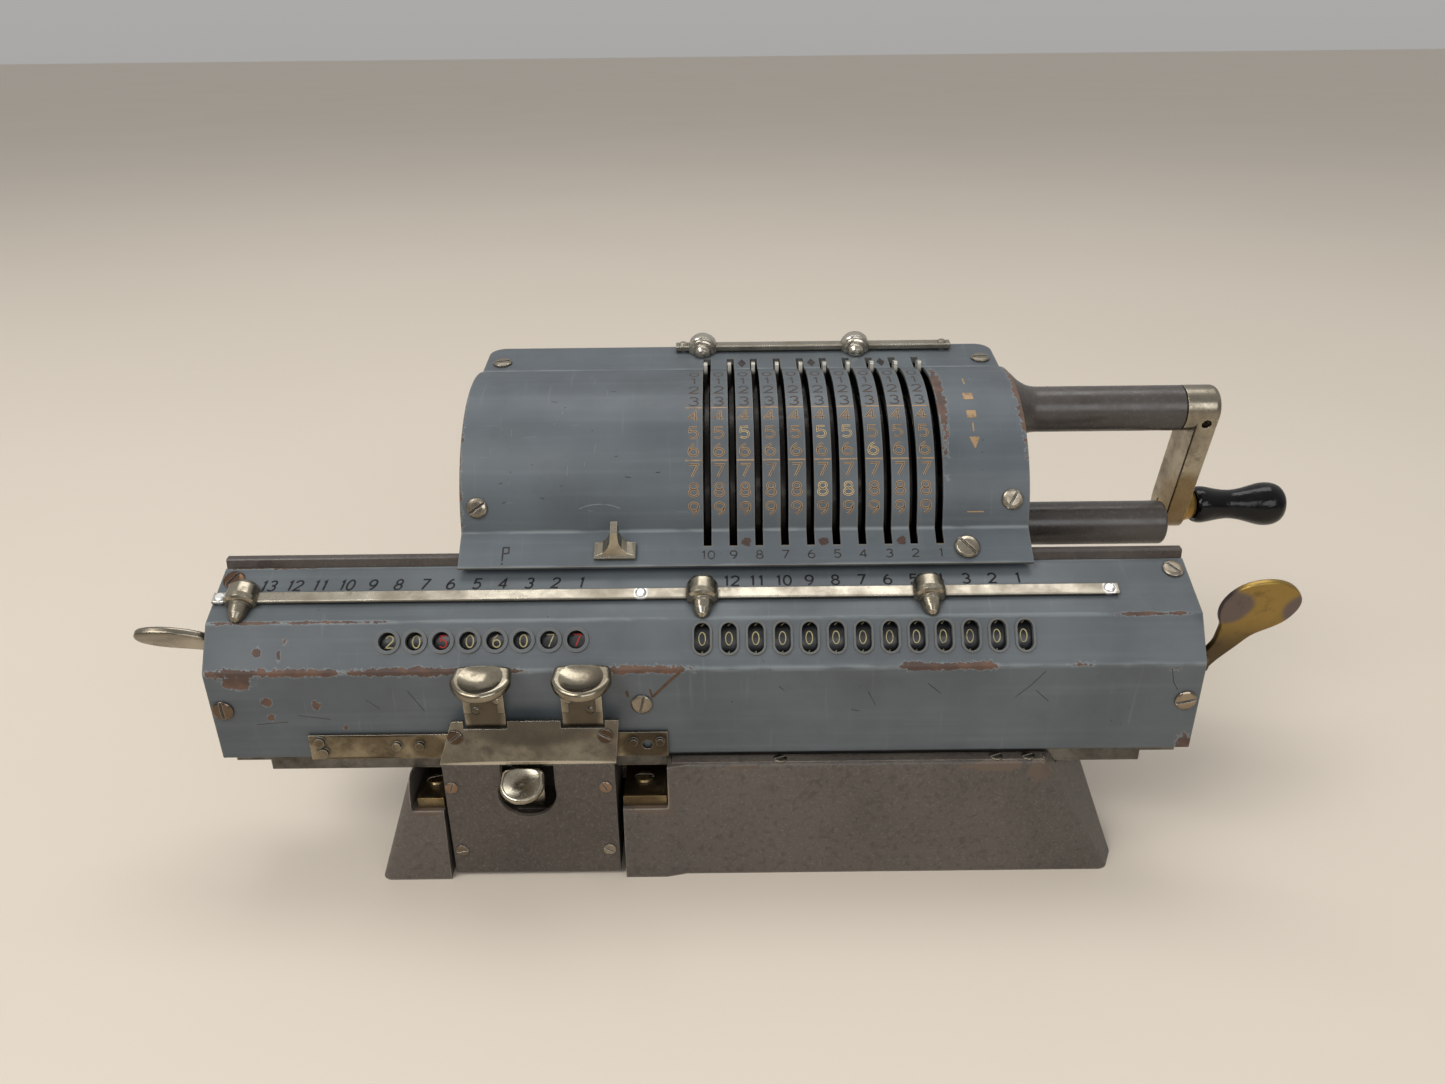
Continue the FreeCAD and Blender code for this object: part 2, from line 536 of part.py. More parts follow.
def base_casting():
    solid = frustum(FOOT_BOTTOM, FOOT_TOP, 0, BASE_TOP).fuse(frustum(PAD_BOTTOM, PAD_TOP, 0, BASE_TOP))
    solid = solid.removeSplitter()
    upright = [e for e in solid.Edges if abs(e.Vertexes[0].Z - e.Vertexes[-1].Z) > 20
               and not -30 < e.CenterOfMass.x < -10]
    solid = solid.makeFillet(3.0, upright)
    rim = [e for e in solid.Edges if all(v.Z > BASE_TOP - 0.1 for v in e.Vertexes)
           and not (e.CenterOfMass.x < -10 and e.CenterOfMass.y < -50)]
    solid = solid.makeFillet(0.8, rim)
    inner_low = [(x - math.copysign(BASE_WALL + 1, x), y - math.copysign(BASE_WALL, y))
                 for x, y in FOOT_BOTTOM]
    inner_high = [(x - math.copysign(BASE_WALL + 1, x), y - math.copysign(BASE_WALL, y))
                  for x, y in FOOT_TOP]
    hollow = frustum(inner_low, inner_high, -0.4, 20.0)
    hollow = hollow.common(box(-120, 120, -80, 80, -1, POCKET_Z - 3.5))
    solid = solid.cut(hollow)
    solid = solid.cut(box(-30, 30, 10, 50, -1, BASE_TOP + 1).fuse(box(-96, 92, -42.0, 52, -1, BASE_TOP - 4)))
    channel = box(-120, 120, CHANNEL_Y[0], CHANNEL_Y[1], 33.4, 50)
    pocket = box(POCKET_X[0], POCKET_X[1], -80, -44.0, POCKET_Z, 60)
    notch = box(NOTCH_X[0], NOTCH_X[1], -80, BOX_BACK + 1.2, -1, 60)
    rail_seat = box(-23.0, 84.5, LEDGE_Y - 1.6, LEDGE_Y + 3, BASE_TOP - 1.2, 50)
    solid = solid.cut([channel, pocket, notch, rail_seat])
    holes = [pin((x, LEDGE_Y, 30), (0, 0, 1), 1.05, 12) for x in LEDGE_SCREWS_X]
    holes += [pin((x, BRACKET_SCREWS_Y, 18), (0, 0, 1), 1.55, 12) for x in BRACKET_SCREWS_X]
    bosses = [pin((x, y, 2.45), (0, 0, 1), 5.0, BASE_TOP - 5.0) for x, y in PLATE_SCREWS]
    solid = solid.fuse(bosses)
    holes += [pin((x, y, 0), (0, 0, 1), 1.55, 14) for x, y in PLATE_SCREWS]
    return solid.cut(holes)


def bottom_plate():
    outline = [(-102.0, -46.5), (98.5, -46.5), (98.5, 62.0), (-102.0, 62.0)]
    plate = Part.Face(Part.makePolygon([Vector(x, y, PLATE_Z) for x, y in outline + outline[:1]]))
    return plate.extrude(Vector(0, 0, 1.2)).cut([pin((x, y, 0), (0, 0, 1), 1.55, 5) for x, y in PLATE_SCREWS])


def rubber_feet():
    return group([pin((x, y, 0), (0, 0, 1), 6.5, PLATE_Z) for x in (-88.0, 88.0) for y in (-40.0, 50.0)])


def front_guide_rail():
    rail = box(-22.8, 84.3, LEDGE_Y - 1.5, LEDGE_Y + 2.2, BASE_TOP - 1.2, BASE_TOP + 0.15)
    return rail.cut([pin((x, LEDGE_Y, 30), (0, 0, 1), 1.05, 12) for x in LEDGE_SCREWS_X])


def escapement_bracket():
    plate = box(POCKET_X[0] + 1.6, POCKET_X[1] - 0.4, -66.0, -44.2, POCKET_Z, POCKET_Z + 2.6)
    plate = plate.cut(box(NOTCH_X[0], NOTCH_X[1], -80, BOX_BACK + 1.2, 0, 60))
    plate = plate.cut(box(POCKET_X[0] - 1, POCKET_X[0] + 2.8, -80, -40, 20, 30)
                      .cut(box(POCKET_X[0] + 1.6, POCKET_X[0] + 2.8, -66, -44.2, 20, 30)))
    rims = [box(POCKET_X[0] + 1.6, NOTCH_X[0], -66.0, -65.2, POCKET_Z + 2.6, POCKET_Z + 3.4),
            box(NOTCH_X[1], POCKET_X[1] - 0.4, -66.0, -65.2, POCKET_Z + 2.6, POCKET_Z + 3.4),
            box(POCKET_X[0] + 1.6, POCKET_X[0] + 2.4, -66.0, -50.0, POCKET_Z + 2.6, POCKET_Z + 3.4),
            box(POCKET_X[1] - 1.2, POCKET_X[1] - 0.4, -66.0, -50.0, POCKET_Z + 2.6, POCKET_Z + 3.4)]
    plate = plate.fuse(rims).removeSplitter()
    return plate.cut([pin((x, BRACKET_SCREWS_Y, 18), (0, 0, 1), 1.55, 12) for x in BRACKET_SCREWS_X])


def side_outline(front):
    """Side plate profile between base and cover, just inside the cover's arc; closed edges."""
    r = COVER_R - SHEET - 0.08
    rear_y = REAR_Y - SHEET - 0.1
    start_a = math.asin((CAR_CLEAR_Z - DRUM_Z) / r)
    top_y = 14.0
    top_a = math.acos((top_y - COVER_Y) / r)
    first = (COVER_Y - r * math.cos(start_a), DRUM_Z + r * math.sin(start_a))
    crest = (COVER_Y, DRUM_Z + r)
    last = (COVER_Y + r * math.cos(top_a), DRUM_Z + r * math.sin(top_a))
    under_crease = (CREASE[0], CREASE[1] - SHEET - 0.25)
    rr = REAR_R - SHEET - 0.1
    rear_a = math.radians(50.0)
    rear_start = (DRUM_Y + rr * math.cos(rear_a), DRUM_Z + rr * math.sin(rear_a))
    rear_mid = (DRUM_Y + rr * math.cos(rear_a / 2), DRUM_Z + rr * math.sin(rear_a / 2))

    def v(p):
        return Vector(0, p[0], p[1])
    edges = [Part.makeLine(v((front, BASE_TOP + 0.05)), v((front, first[1]))),
             Part.makeLine(v((front, first[1])), v(first)),
             Part.Arc(v(first), v(crest), v(last)).toShape(),
             Part.makeLine(v(last), v(under_crease)),
             Part.makeLine(v(under_crease), v(rear_start)),
             Part.Arc(v(rear_start), v(rear_mid), v((rear_y, DRUM_Z))).toShape(),
             Part.makeLine(v((rear_y, DRUM_Z)), v((rear_y, BASE_TOP + 0.05))),
             Part.makeLine(v((rear_y, BASE_TOP + 0.05)), v((front, BASE_TOP + 0.05)))]
    return edges


def side_plate(x0, x1):
    plate = prism_edges(side_outline(FRAME_FRONT), x0, x1)
    plate.translate(Vector(x0, 0, 0))
    return plate


def left_side_frame():
    plate = side_plate(*LEFT_FRAME)
    foot = box(LEFT_FRAME[1] - 1, LEFT_FRAME[1] + 8, -20, 40, BASE_TOP + 0.05, BASE_TOP + 4)
    plate = plate.fuse(foot).removeSplitter()
    cuts = [rod(-90, -70, DRUM_Y, DRUM_Z, BUSH_R), cross_bar_hole(-90, -70)]
    cuts += [screw_hole(p, n, 3.05, 9) for p, n, _ in COVER_SCREWS]
    cuts += [screw_hole(p, n, 3.05, 6) for p, n, _ in REAR_SCREWS]
    return plate.cut(cuts)


def right_side_frame():
    plate = side_plate(*RIGHT_FRAME)
    foot = box(RIGHT_FRAME[0] - 8, RIGHT_FRAME[0] + 1, -20, 40, BASE_TOP + 0.05, BASE_TOP + 4)
    plate = plate.fuse(foot).removeSplitter()
    cuts = [rod(60, 90, DRUM_Y, DRUM_Z, BUSH_R), rod(60, 90, CRANK_Y, CRANK_Z, 4.6),
            cross_bar_hole(60, 90)]
    cuts += [screw_hole(p, n, 3.05, 9) for p, n, _ in COVER_SCREWS]
    cuts += [screw_hole(p, n, 3.05, 6) for p, n, _ in REAR_SCREWS]
    return plate.cut(cuts)


def cross_bar_hole(x0, x1):
    return box(x0, x1, -29.05, -22.95, 51.95, 58.05)


def cross_bar():
    return box(LEFT_FRAME[0] + 0.5, RIGHT_FRAME[1] - 0.1, -29.0, -23.0, 52.0, 58.0)


def right_cheek():
    """Gear housing with the crank shaft's tube and the rest tube, cast in one."""
    outer = side_plate(*CHEEK)
    flare = smooth_revolve([(-0.15, 12.3), (0.8, 11.6), (2.4, 10.1), (4.6, 8.5), (7.0, 7.5), (9.5, TUBE_R)],
                           (CHEEK[1], CRANK_Y, CRANK_Z), (1, 0, 0), (0, 0, 1))
    neck = rod(CHEEK[1] - 1, CHEEK[1] + 1, CRANK_Y, CRANK_Z, 11.0)
    upper = rod(CHEEK[1] - 1, TUBE_END, CRANK_Y, CRANK_Z, TUBE_R)
    lower = rod(CHEEK[1] - 1, REST_END, CRANK_Y, REST_Z, TUBE_R)
    lower = lower.makeFillet(1.1, [e for e in lower.Edges if abs(e.CenterOfMass.x - REST_END) < 0.01])
    body = outer.fuse([neck, flare, upper, lower])
    cavity = rod(CHEEK[0] - 1, GEAR_X + GEAR_W + 0.6, CRANK_Y, CRANK_Z, 10.0)
    cavity = cavity.fuse([rod(CHEEK[0] - 1, GEAR_X + GEAR_W + 0.6, DRUM_Y, DRUM_Z, 10.0),
                          rod(CHEEK[0] - 1, GEAR_X + GEAR_W + 0.6, IDLER_Y, IDLER_Z, 8.2)])
    lighten = side_plate(CHEEK[0] - 1, CHEEK[1] - 3).common(box(70, 90, -24, 44, 44, 74))
    body = body.cut([cavity, lighten])
    stud = rod(GEAR_X - 1.0, CHEEK[1] - 1, IDLER_Y, IDLER_Z, 1.95)
    body = body.fuse(stud).removeSplitter()
    cuts = [rod(CHEEK[1] - 4, TUBE_END + 1, CRANK_Y, CRANK_Z, 5.2),
            rod(CHEEK[1] - 1, REST_END + 1, CRANK_Y, REST_Z, 2.6),
            rod(CHEEK[0] - 1, DRUM_SHAFT_END + 0.5, DRUM_Y, DRUM_Z, DRUM_SHAFT_R + 0.5)]
    cuts += [screw_hole(p, n, 3.05, 9) for p, n, _ in COVER_SCREWS]
    return body.cut(cuts)


def idler_centre():
    """Third corner of the triangle between crank and drum axes; both sides one gear distance."""
    reach = TRAIN_M * (TRAIN_N + IDLER_N) / 2
    mid = ((CRANK_Y + DRUM_Y) / 2, (CRANK_Z + DRUM_Z) / 2)
    dy, dz = CRANK_Y - DRUM_Y, CRANK_Z - DRUM_Z
    span = math.hypot(dy, dz)
    side = math.sqrt(reach ** 2 - (span / 2) ** 2)
    return (mid[0] + dz / span * side, mid[1] - dy / span * side)


IDLER_Y, IDLER_Z = idler_centre()


def direction(a, b):
    return math.degrees(math.atan2(b[1] - a[1], b[0] - a[0]))


IDLER_PHASE = mesh_phase(TRAIN_N, CRANK_PHASE, IDLER_N, direction((CRANK_Y, CRANK_Z), (IDLER_Y, IDLER_Z)))
DRUM_PHASE = mesh_phase(IDLER_N, IDLER_PHASE, TRAIN_N, direction((IDLER_Y, IDLER_Z), (DRUM_Y, DRUM_Z)))


def train_gear(teeth, y, z, phase, bore_r):
    gear = involute_gear(teeth, TRAIN_M, GEAR_X, GEAR_W, y, z, phase, 0.22)
    return gear.cut(rod(GEAR_X - 1, GEAR_X + GEAR_W + 1, y, z, bore_r))


def bearing_bushes():
    bushes = [tube(LEFT_FRAME[0], LEFT_FRAME[1], DRUM_Y, DRUM_Z, BUSH_R, DRUM_SHAFT_R + 0.05),
              tube(RIGHT_FRAME[0], RIGHT_FRAME[1], DRUM_Y, DRUM_Z, BUSH_R, DRUM_SHAFT_R + 0.05),
              tube(CHEEK[1] + 2, CHEEK[1] + 14, CRANK_Y, CRANK_Z, 5.2, CRANK_SHAFT_R + 0.05),
              tube(TUBE_END - 12, TUBE_END - 0.2, CRANK_Y, CRANK_Z, 5.2, CRANK_SHAFT_R + 0.05)]
    return group(bushes)


# ---------------------------------------------------------------- drum cover
FLANGE_DIR = facet(FLANGE_F, FLANGE_TOWARDS)[0]


def cover_points():
    centre = (COVER_Y, DRUM_Z)
    g_out = line_meets_circle(FLANGE_F, FLANGE_DIR, centre, COVER_R, False)
    crease = (CREASE_Y, DRUM_Z + math.sqrt(COVER_R ** 2 - (CREASE_Y - COVER_Y) ** 2))
    return g_out, crease


G_OUT, CREASE = cover_points()
FLANGE_OUT = facet(FLANGE_F, G_OUT)[1]
PLATE_DIR, PLATE_OUT = facet(CREASE, PLATE_BACK)


def at_arc(angle, extra=0.0):
    """Point on the cover's arc, angle up from the front horizontal."""
    a = math.radians(angle)
    return (COVER_Y - (COVER_R + extra) * math.cos(a), DRUM_Z + (COVER_R + extra) * math.sin(a))


def arc_normal(angle):
    a = math.radians(angle)
    return (0, -math.cos(a), math.sin(a))


COVER_SCREWS = [((-78.7,) + at_arc(17.4), arc_normal(17.4), 35),
                ((77.0,) + at_arc(18.7), arc_normal(18.7), 60),
                ((-78.3, 25.0, CREASE[1] + (25.0 - CREASE_Y) * PLATE_DIR[1] / PLATE_DIR[0]),
                 (0, PLATE_OUT[0], PLATE_OUT[1]), 10),
                ((77.2, 25.0, CREASE[1] + (25.0 - CREASE_Y) * PLATE_DIR[1] / PLATE_DIR[0]),
                 (0, PLATE_OUT[0], PLATE_OUT[1]), 5)]
REAR_SCREWS = [((x, REAR_Y, z), (0, 1, 0), turn) for x, z, turn in
               ((-79.0, 84.0, 20), (71.3, 84.0, 70), (-79.0, 48.0, 110), (71.3, 48.0, 50))]
FLANGE_SCREW = (63.4,) + on_facet(FLANGE_F, FLANGE_DIR, FLANGE_OUT, 5.13, 0)
TOP_RAIL_S = (TOP_RAIL_Y - CREASE_Y) / PLATE_DIR[0]


def drum_cover():
    centre = (COVER_Y, DRUM_Z)
    r_in = COVER_R - SHEET
    f_in = (FLANGE_F[0] - FLANGE_OUT[0] * SHEET, FLANGE_F[1] - FLANGE_OUT[1] * SHEET)
    g_in = line_meets_circle(f_in, FLANGE_DIR, centre, r_in, False)
    p_in = (PLATE_BACK[0] - PLATE_OUT[0] * SHEET, PLATE_BACK[1] - PLATE_OUT[1] * SHEET)
    crease_in = line_meets_circle(p_in, (-PLATE_DIR[0], -PLATE_DIR[1]), centre, r_in, False)

    def v(p):
        return Vector(COVER_LEFT, p[0], p[1])
    top_out = (COVER_Y - COVER_R * math.cos(math.radians(50)), DRUM_Z + COVER_R * math.sin(math.radians(50)))
    top_in = (COVER_Y - r_in * math.cos(math.radians(50)), DRUM_Z + r_in * math.sin(math.radians(50)))
    edges = [Part.makeLine(v(FLANGE_F), v(G_OUT)), Part.Arc(v(G_OUT), v(top_out), v(CREASE)).toShape(),
             Part.makeLine(v(CREASE), v(PLATE_BACK)), Part.makeLine(v(PLATE_BACK), v(p_in)),
             Part.makeLine(v(p_in), v(crease_in)), Part.Arc(v(crease_in), v(top_in), v(g_in)).toShape(),
             Part.makeLine(v(g_in), v(f_in)), Part.makeLine(v(f_in), v(FLANGE_F))]
    shell = prism_edges(edges, COVER_LEFT, COVER_RIGHT)
    for x in (COVER_LEFT, COVER_RIGHT):
        corner = [e for e in shell.Edges if e.Length < 1.2
                  and all(abs(p.Point.x - x) < 0.01 and p.Point.y > 36 for p in e.Vertexes)]
        shell = shell.makeFillet(5.0, corner)
    soft = [e for e in shell.Edges if len(e.Vertexes) == 2 and e.Length > 150
            and math.hypot(e.Vertexes[0].Y - G_OUT[0], e.Vertexes[0].Z - G_OUT[1]) < 0.01]
    shell = shell.makeFillet(1.2, soft)
    cuts = [box(x - SLOT_W / 2, x + SLOT_W / 2, -35.6, SLOT_BACK, 91.0, 145.0) for x in SLOTS_X]
    cuts += [screw_hole(p, n, 3.05, 4) for p, n, _ in COVER_SCREWS]
    cuts.append(screw_hole(FLANGE_SCREW, (0, FLANGE_OUT[0], FLANGE_OUT[1]), 3.7, 4))
    cuts += [screw_hole((x,) + on_facet(CREASE, PLATE_DIR, PLATE_OUT, TOP_RAIL_S, 0),
                        (0, PLATE_OUT[0], PLATE_OUT[1]), 1.8, 4) for x in TOP_RIVETS]
    cuts.append(knob_slot())
    return shell.cut(cuts)


def top_pointer_rail():
    seat = on_facet(CREASE, PLATE_DIR, PLATE_OUT, TOP_RAIL_S, 0)
    out = Vector(0, PLATE_OUT[0], PLATE_OUT[1])
    up = Vector(0, PLATE_DIR[0], PLATE_DIR[1])
    corner = Vector(TOP_RAIL_X[0], seat[0], seat[1]) - up * (TOP_RAIL_W / 2) + out * TOP_RAIL_LIFT
    bar = Part.Face(Part.makePolygon([corner, corner + up * TOP_RAIL_W,
                                      corner + up * TOP_RAIL_W + out * TOP_RAIL_T,
                                      corner + out * TOP_RAIL_T,
                                      corner])).extrude(Vector(TOP_RAIL_X[1] - TOP_RAIL_X[0], 0, 0))
    bar = bar.makeChamfer(0.25, [e for e in bar.Edges if e.Length > 50])
    solids = []
    for x in TOP_RIVETS:
        p = Vector(x, seat[0], seat[1])
        bar = bar.cut(Part.makeCylinder(0.94, 6, p - out * 2, out))
        foot = Part.makeCylinder(1.55, TOP_RAIL_LIFT, p, out)
        head = revolve([(0, 1.4), (0.3, 1.4), (0.7, 0.9)], p + out * (TOP_RAIL_LIFT + TOP_RAIL_T), out, up)
        solids.append(Part.makeCylinder(0.85, 3.2, p - out * 0.9, out).fuse([foot, head]).removeSplitter())
    return group([bar] + solids)


def top_pointer(x):
    seat = on_facet(CREASE, PLATE_DIR, PLATE_OUT, TOP_RAIL_S, 0)
    return rail_pointer(TOP_POINTER_PROFILE, Vector(x, seat[0], seat[1]), Vector(0, PLATE_DIR[0], PLATE_DIR[1]),
                        Vector(0, PLATE_OUT[0], PLATE_OUT[1]), TOP_RAIL_LIFT, TOP_RAIL_LIFT + TOP_RAIL_T,
                        TOP_RAIL_W)


def rear_cover():
    """Sheet that closes the back: a tongue under the top plate, the rear arc and a straight skirt."""
    def v(p):
        return Vector(COVER_LEFT + 0.2, p[0], p[1])

    def ring(r, angle):
        a = math.radians(angle)
        return (DRUM_Y + r * math.cos(a), DRUM_Z + r * math.sin(a))
    lip_out = [on_facet(CREASE, PLATE_DIR, PLATE_OUT, s, -SHEET - 0.08) for s in (5.0, 16.4)]
    lip_in = [on_facet(CREASE, PLATE_DIR, PLATE_OUT, s, -2 * SHEET - 0.08) for s in (5.0, 15.8)]
    r_in = REAR_R - SHEET
    low = BASE_TOP + 0.1
    edges = [Part.makeLine(v(lip_out[0]), v(lip_out[1])), Part.makeLine(v(lip_out[1]), v(ring(REAR_R, 50))),
             Part.Arc(v(ring(REAR_R, 50)), v(ring(REAR_R, 25)), v(ring(REAR_R, 0))).toShape(),
             Part.makeLine(v(ring(REAR_R, 0)), v((REAR_Y, low))),
             Part.makeLine(v((REAR_Y, low)), v((REAR_Y - SHEET, low))),
             Part.makeLine(v((REAR_Y - SHEET, low)), v(ring(r_in, 0))),
             Part.Arc(v(ring(r_in, 0)), v(ring(r_in, 25)), v(ring(r_in, 50))).toShape(),
             Part.makeLine(v(ring(r_in, 50)), v(lip_in[1])), Part.makeLine(v(lip_in[1]), v(lip_in[0])),
             Part.makeLine(v(lip_in[0]), v(lip_out[0]))]
    shell = prism_edges(edges, COVER_LEFT + 0.2, COVER_RIGHT - 0.2)
    cuts = [screw_hole(p, n, 3.05, 4) for p, n, _ in REAR_SCREWS + COVER_SCREWS]
    cuts += [box(x - SLOT_W / 2, x + SLOT_W / 2, 0, SLOT_BACK, 120.0, 145.0) for x in SLOTS_X]
    return shell.cut(cuts)


# ---------------------------------------------------------------- drum
def pinwheel(x):
    """One pinwheel: a disc left of the slot's plane with a shoulder for the setting ring."""
    disc = rod(x - 4.7, x - 0.9, DRUM_Y, DRUM_Z, DISC_R)
    shoulder = rod(x - 0.9, x + 0.9, DRUM_Y, DRUM_Z, RING_IN - 0.06)
    hub = rod(x - 4.7, x + PITCH - 4.8, DRUM_Y, DRUM_Z, 11.0)
    body = disc.fuse([shoulder, hub]).removeSplitter()
    bores = [rod(x - 8, x + 8, DRUM_Y, DRUM_Z, DRUM_SHAFT_R)]
    bores += [radial_pin(x + PIN_X, k, 1.15, 19.0, 14.0) for k in range(PINS)]
    return body.cut(bores)


def radial_pin(x, k, r, start, length):
    a = math.radians(-60.0 + PIN_STEP * k)
    way = Vector(0, math.cos(a), math.sin(a))
    return Part.makeCylinder(r, length, Vector(x, DRUM_Y, DRUM_Z) + way * start, way)


def setting_lever(x):
    """Setting ring with the thumb tip that stands out through the cover's slot."""
    ring = tube(x - RING_W / 2, x + RING_W / 2, DRUM_Y, DRUM_Z, RING_OUT, RING_IN)
    half = 2.1
    arm = box(x - 0.97, x + 0.17, DRUM_Y - half, DRUM_Y + half, DRUM_Z + RING_OUT - 1.5, DRUM_Z + TIP_R)
    arm = arm.makeFillet(0.7, [e for e in arm.Edges if all(v.Z > DRUM_Z + TIP_R - 0.1 for v in e.Vertexes)
                               and abs(e.Vertexes[0].Y - e.Vertexes[-1].Y) < 0.01])
    lever = ring.fuse(arm).removeSplitter()
    lever.rotate(Vector(0, DRUM_Y, DRUM_Z), Vector(1, 0, 0), -(LEVER_REST - 90.0))
    return lever


def drum_shaft():
    return rod(LEFT_FRAME[0] + 0.2, DRUM_SHAFT_END - 0.4, DRUM_Y, DRUM_Z, DRUM_SHAFT_R)


# ---------------------------------------------------------------- crank and handle
def turned(shape):
    shape.rotate(Vector(0, CRANK_Y, CRANK_Z), Vector(1, 0, 0), CRANK_BACK)
    return shape


def crank_arm():
    hub = rod(HUB_X[0], HUB_X[1], CRANK_Y, CRANK_Z, ARM_W / 2)
    hub = hub.makeFillet(2.2, [e for e in hub.Edges if abs(e.CenterOfMass.x - HUB_X[1]) < 0.01])
    bar = box(ARM_X[0], ARM_X[1], CRANK_Y - ARM_W / 2, CRANK_Y + ARM_W / 2, REST_Z, CRANK_Z)
    foot = rod(ARM_X[0], ARM_X[1], CRANK_Y, REST_Z, ARM_W / 2)
    arm = hub.fuse([bar, foot]).removeSplitter()
    rim = [e for e in arm.Edges if abs(e.CenterOfMass.x - ARM_X[0]) < 0.01 and e.CenterOfMass.z < 110]
    arm = arm.makeFillet(0.6, rim)
    cuts = [rod(130, HUB_X[1] - 2.0, CRANK_Y, CRANK_Z, CRANK_SHAFT_R),
            pin((HUB_X[0] + 6.6, CRANK_Y - 20, CRANK_Z - 1.5), (0, 1, 0), 1.5, 16),
            rod(ARM_X[0] - 1, ARM_X[1] + 1, CRANK_Y, REST_Z, SPINDLE_R + 0.05)]
    return turned(arm.cut(cuts))


def crank_shaft():
    shaft = rod(RIGHT_FRAME[0] + 0.4, HUB_X[1] - 2.1, CRANK_Y, CRANK_Z, CRANK_SHAFT_R)
    return shaft


def handle_spindle():
    """Pull spindle: lock pin through the arm, collar outside it, and the axle of the grip."""
    y, z = CRANK_Y, REST_Z
    body = rod(ARM_X[0] + 0.2, GRIP_X[1] - 6, y, z, SPINDLE_R)
    collar = revolve([(0, 5.4), (1.0, 5.6), (COLLAR_X[1] - COLLAR_X[0], 4.6)], (COLLAR_X[0], y, z),
                     (1, 0, 0), (0, 0, 1))
    return turned(body.fuse(collar).removeSplitter())


def handle_grip():
    y, z = CRANK_Y, REST_Z
    length = GRIP_X[1] - GRIP_X[0]
    shape = [(0.0, 5.6), (0.04, 6.1), (0.16, 5.9), (0.40, 4.9), (0.60, 6.0), (0.78, 7.3), (0.92, 6.6), (1.0, 3.0)]
    grip = smooth_revolve([(t * length, r) for t, r in shape], (GRIP_X[0], y, z), (1, 0, 0), (0, 0, 1))
    return turned(grip.cut(rod(GRIP_X[0] - 1, GRIP_X[1] - 5.5, y, z, SPINDLE_R + 0.06)))


# ---------------------------------------------------------------- escapement box and keys
# section of the nickel top plate (y, z), and its slanted ends (x below, x above)
TOP_PLATE = [(BOX_FRONT, 41.2), (-66.5, 54.2), (-65.72, 54.2), (-66.95, 41.7), (-66.95, 40.4), (BOX_FRONT, 40.4)]
TOP_PLATE_LEFT = (-88.2, -83.9)
TOP_PLATE_RIGHT = (-38.2, -37.0)
TOP_UP, TOP_OUT = facet(TOP_PLATE[0], TOP_PLATE[1])
# each screw: seat, outward normal, turn of its slot, head radius
BOX_SCREWS = [((-85.9, BOX_FRONT, 32.5), (0, -1, 0), 70, 1.9), ((-41.7, BOX_FRONT, 32.2), (0, -1, 0), 120, 1.9),
              ((-85.3, BOX_FRONT, 9.7), (0, -1, 0), 10, 1.9), ((-41.7, BOX_FRONT, 9.5), (0, -1, 0), 150, 1.9)]
TOP_SCREWS = [((x,) + on_facet(TOP_PLATE[0], TOP_UP, TOP_OUT, 8.2, 0), normal_x(TOP_OUT), turn, 2.2)
              for x, turn in ((-83.2, 40), (-40.9, 150))]


def box_housing():
    walls = box(BOX_LEFT + 0.1, BOX_RIGHT - 0.1, BOX_FRONT + 1.55, BOX_BACK, 1.5, 33.0)
    inside = box(BOX_LEFT + 1.6, BOX_RIGHT - 1.6, BOX_FRONT, BOX_BACK - 1.5, 3.0, 40)
    walls = walls.cut(inside)
    guide = box(BOX_LEFT + 1.0, BOX_RIGHT - 1.0, BOX_FRONT + 1.6, BOX_BACK - 1.0, 18.0, 20.0)
    half = STEM_W / 2 - STEM_STEP + 0.15
    slots = [box(c - half, c + half, STEM_Y[0] - 0.1, STEM_Y[1] + 0.1, 10, 30) for c in (KEY_LEFT, KEY_RIGHT)]
    guide = guide.cut(slots + [box(-68.8, -60.0, -63.7, -61.8, 10, 30)])
    cheeks = [box(BOX_LEFT + 0.1, BOX_LEFT + 1.6, BOX_FRONT + 1.55, -64.8, 33.0, BOX_RIM),
              box(BOX_RIGHT - 1.6, BOX_RIGHT - 0.1, BOX_FRONT + 1.55, -64.8, 33.0, BOX_RIM)]
    body = walls.fuse([guide] + cheeks).removeSplitter()
    return body.cut([screw_hole(p, n, r + 0.1, 4) for p, n, _, r in BOX_SCREWS])


def box_front_plate():
    plate = box(BOX_LEFT, BOX_RIGHT, BOX_FRONT, BOX_FRONT + 1.5, 1.3, BOX_RIM)
    window = box(CUT_X[0], CUT_X[1], -75, -60, 30.5, 45)
    dish = pin(((CUT_X[0] + CUT_X[1]) / 2 - 0.6, -75, 30.2), (0, 1, 0), 8.4, 15)
    cuts = [window, dish] + [screw_hole(p, n, r + 0.1, 4) for p, n, _, r in BOX_SCREWS]
    return plate.cut(cuts)


def wedge_xz(points, y0, y1):
    """Prism along Y with the given (x, z) corners."""
    corners = [Vector(x, y0, z) for x, z in points]
    return Part.Face(Part.makePolygon(corners + corners[:1])).extrude(Vector(0, y1 - y0, 0))


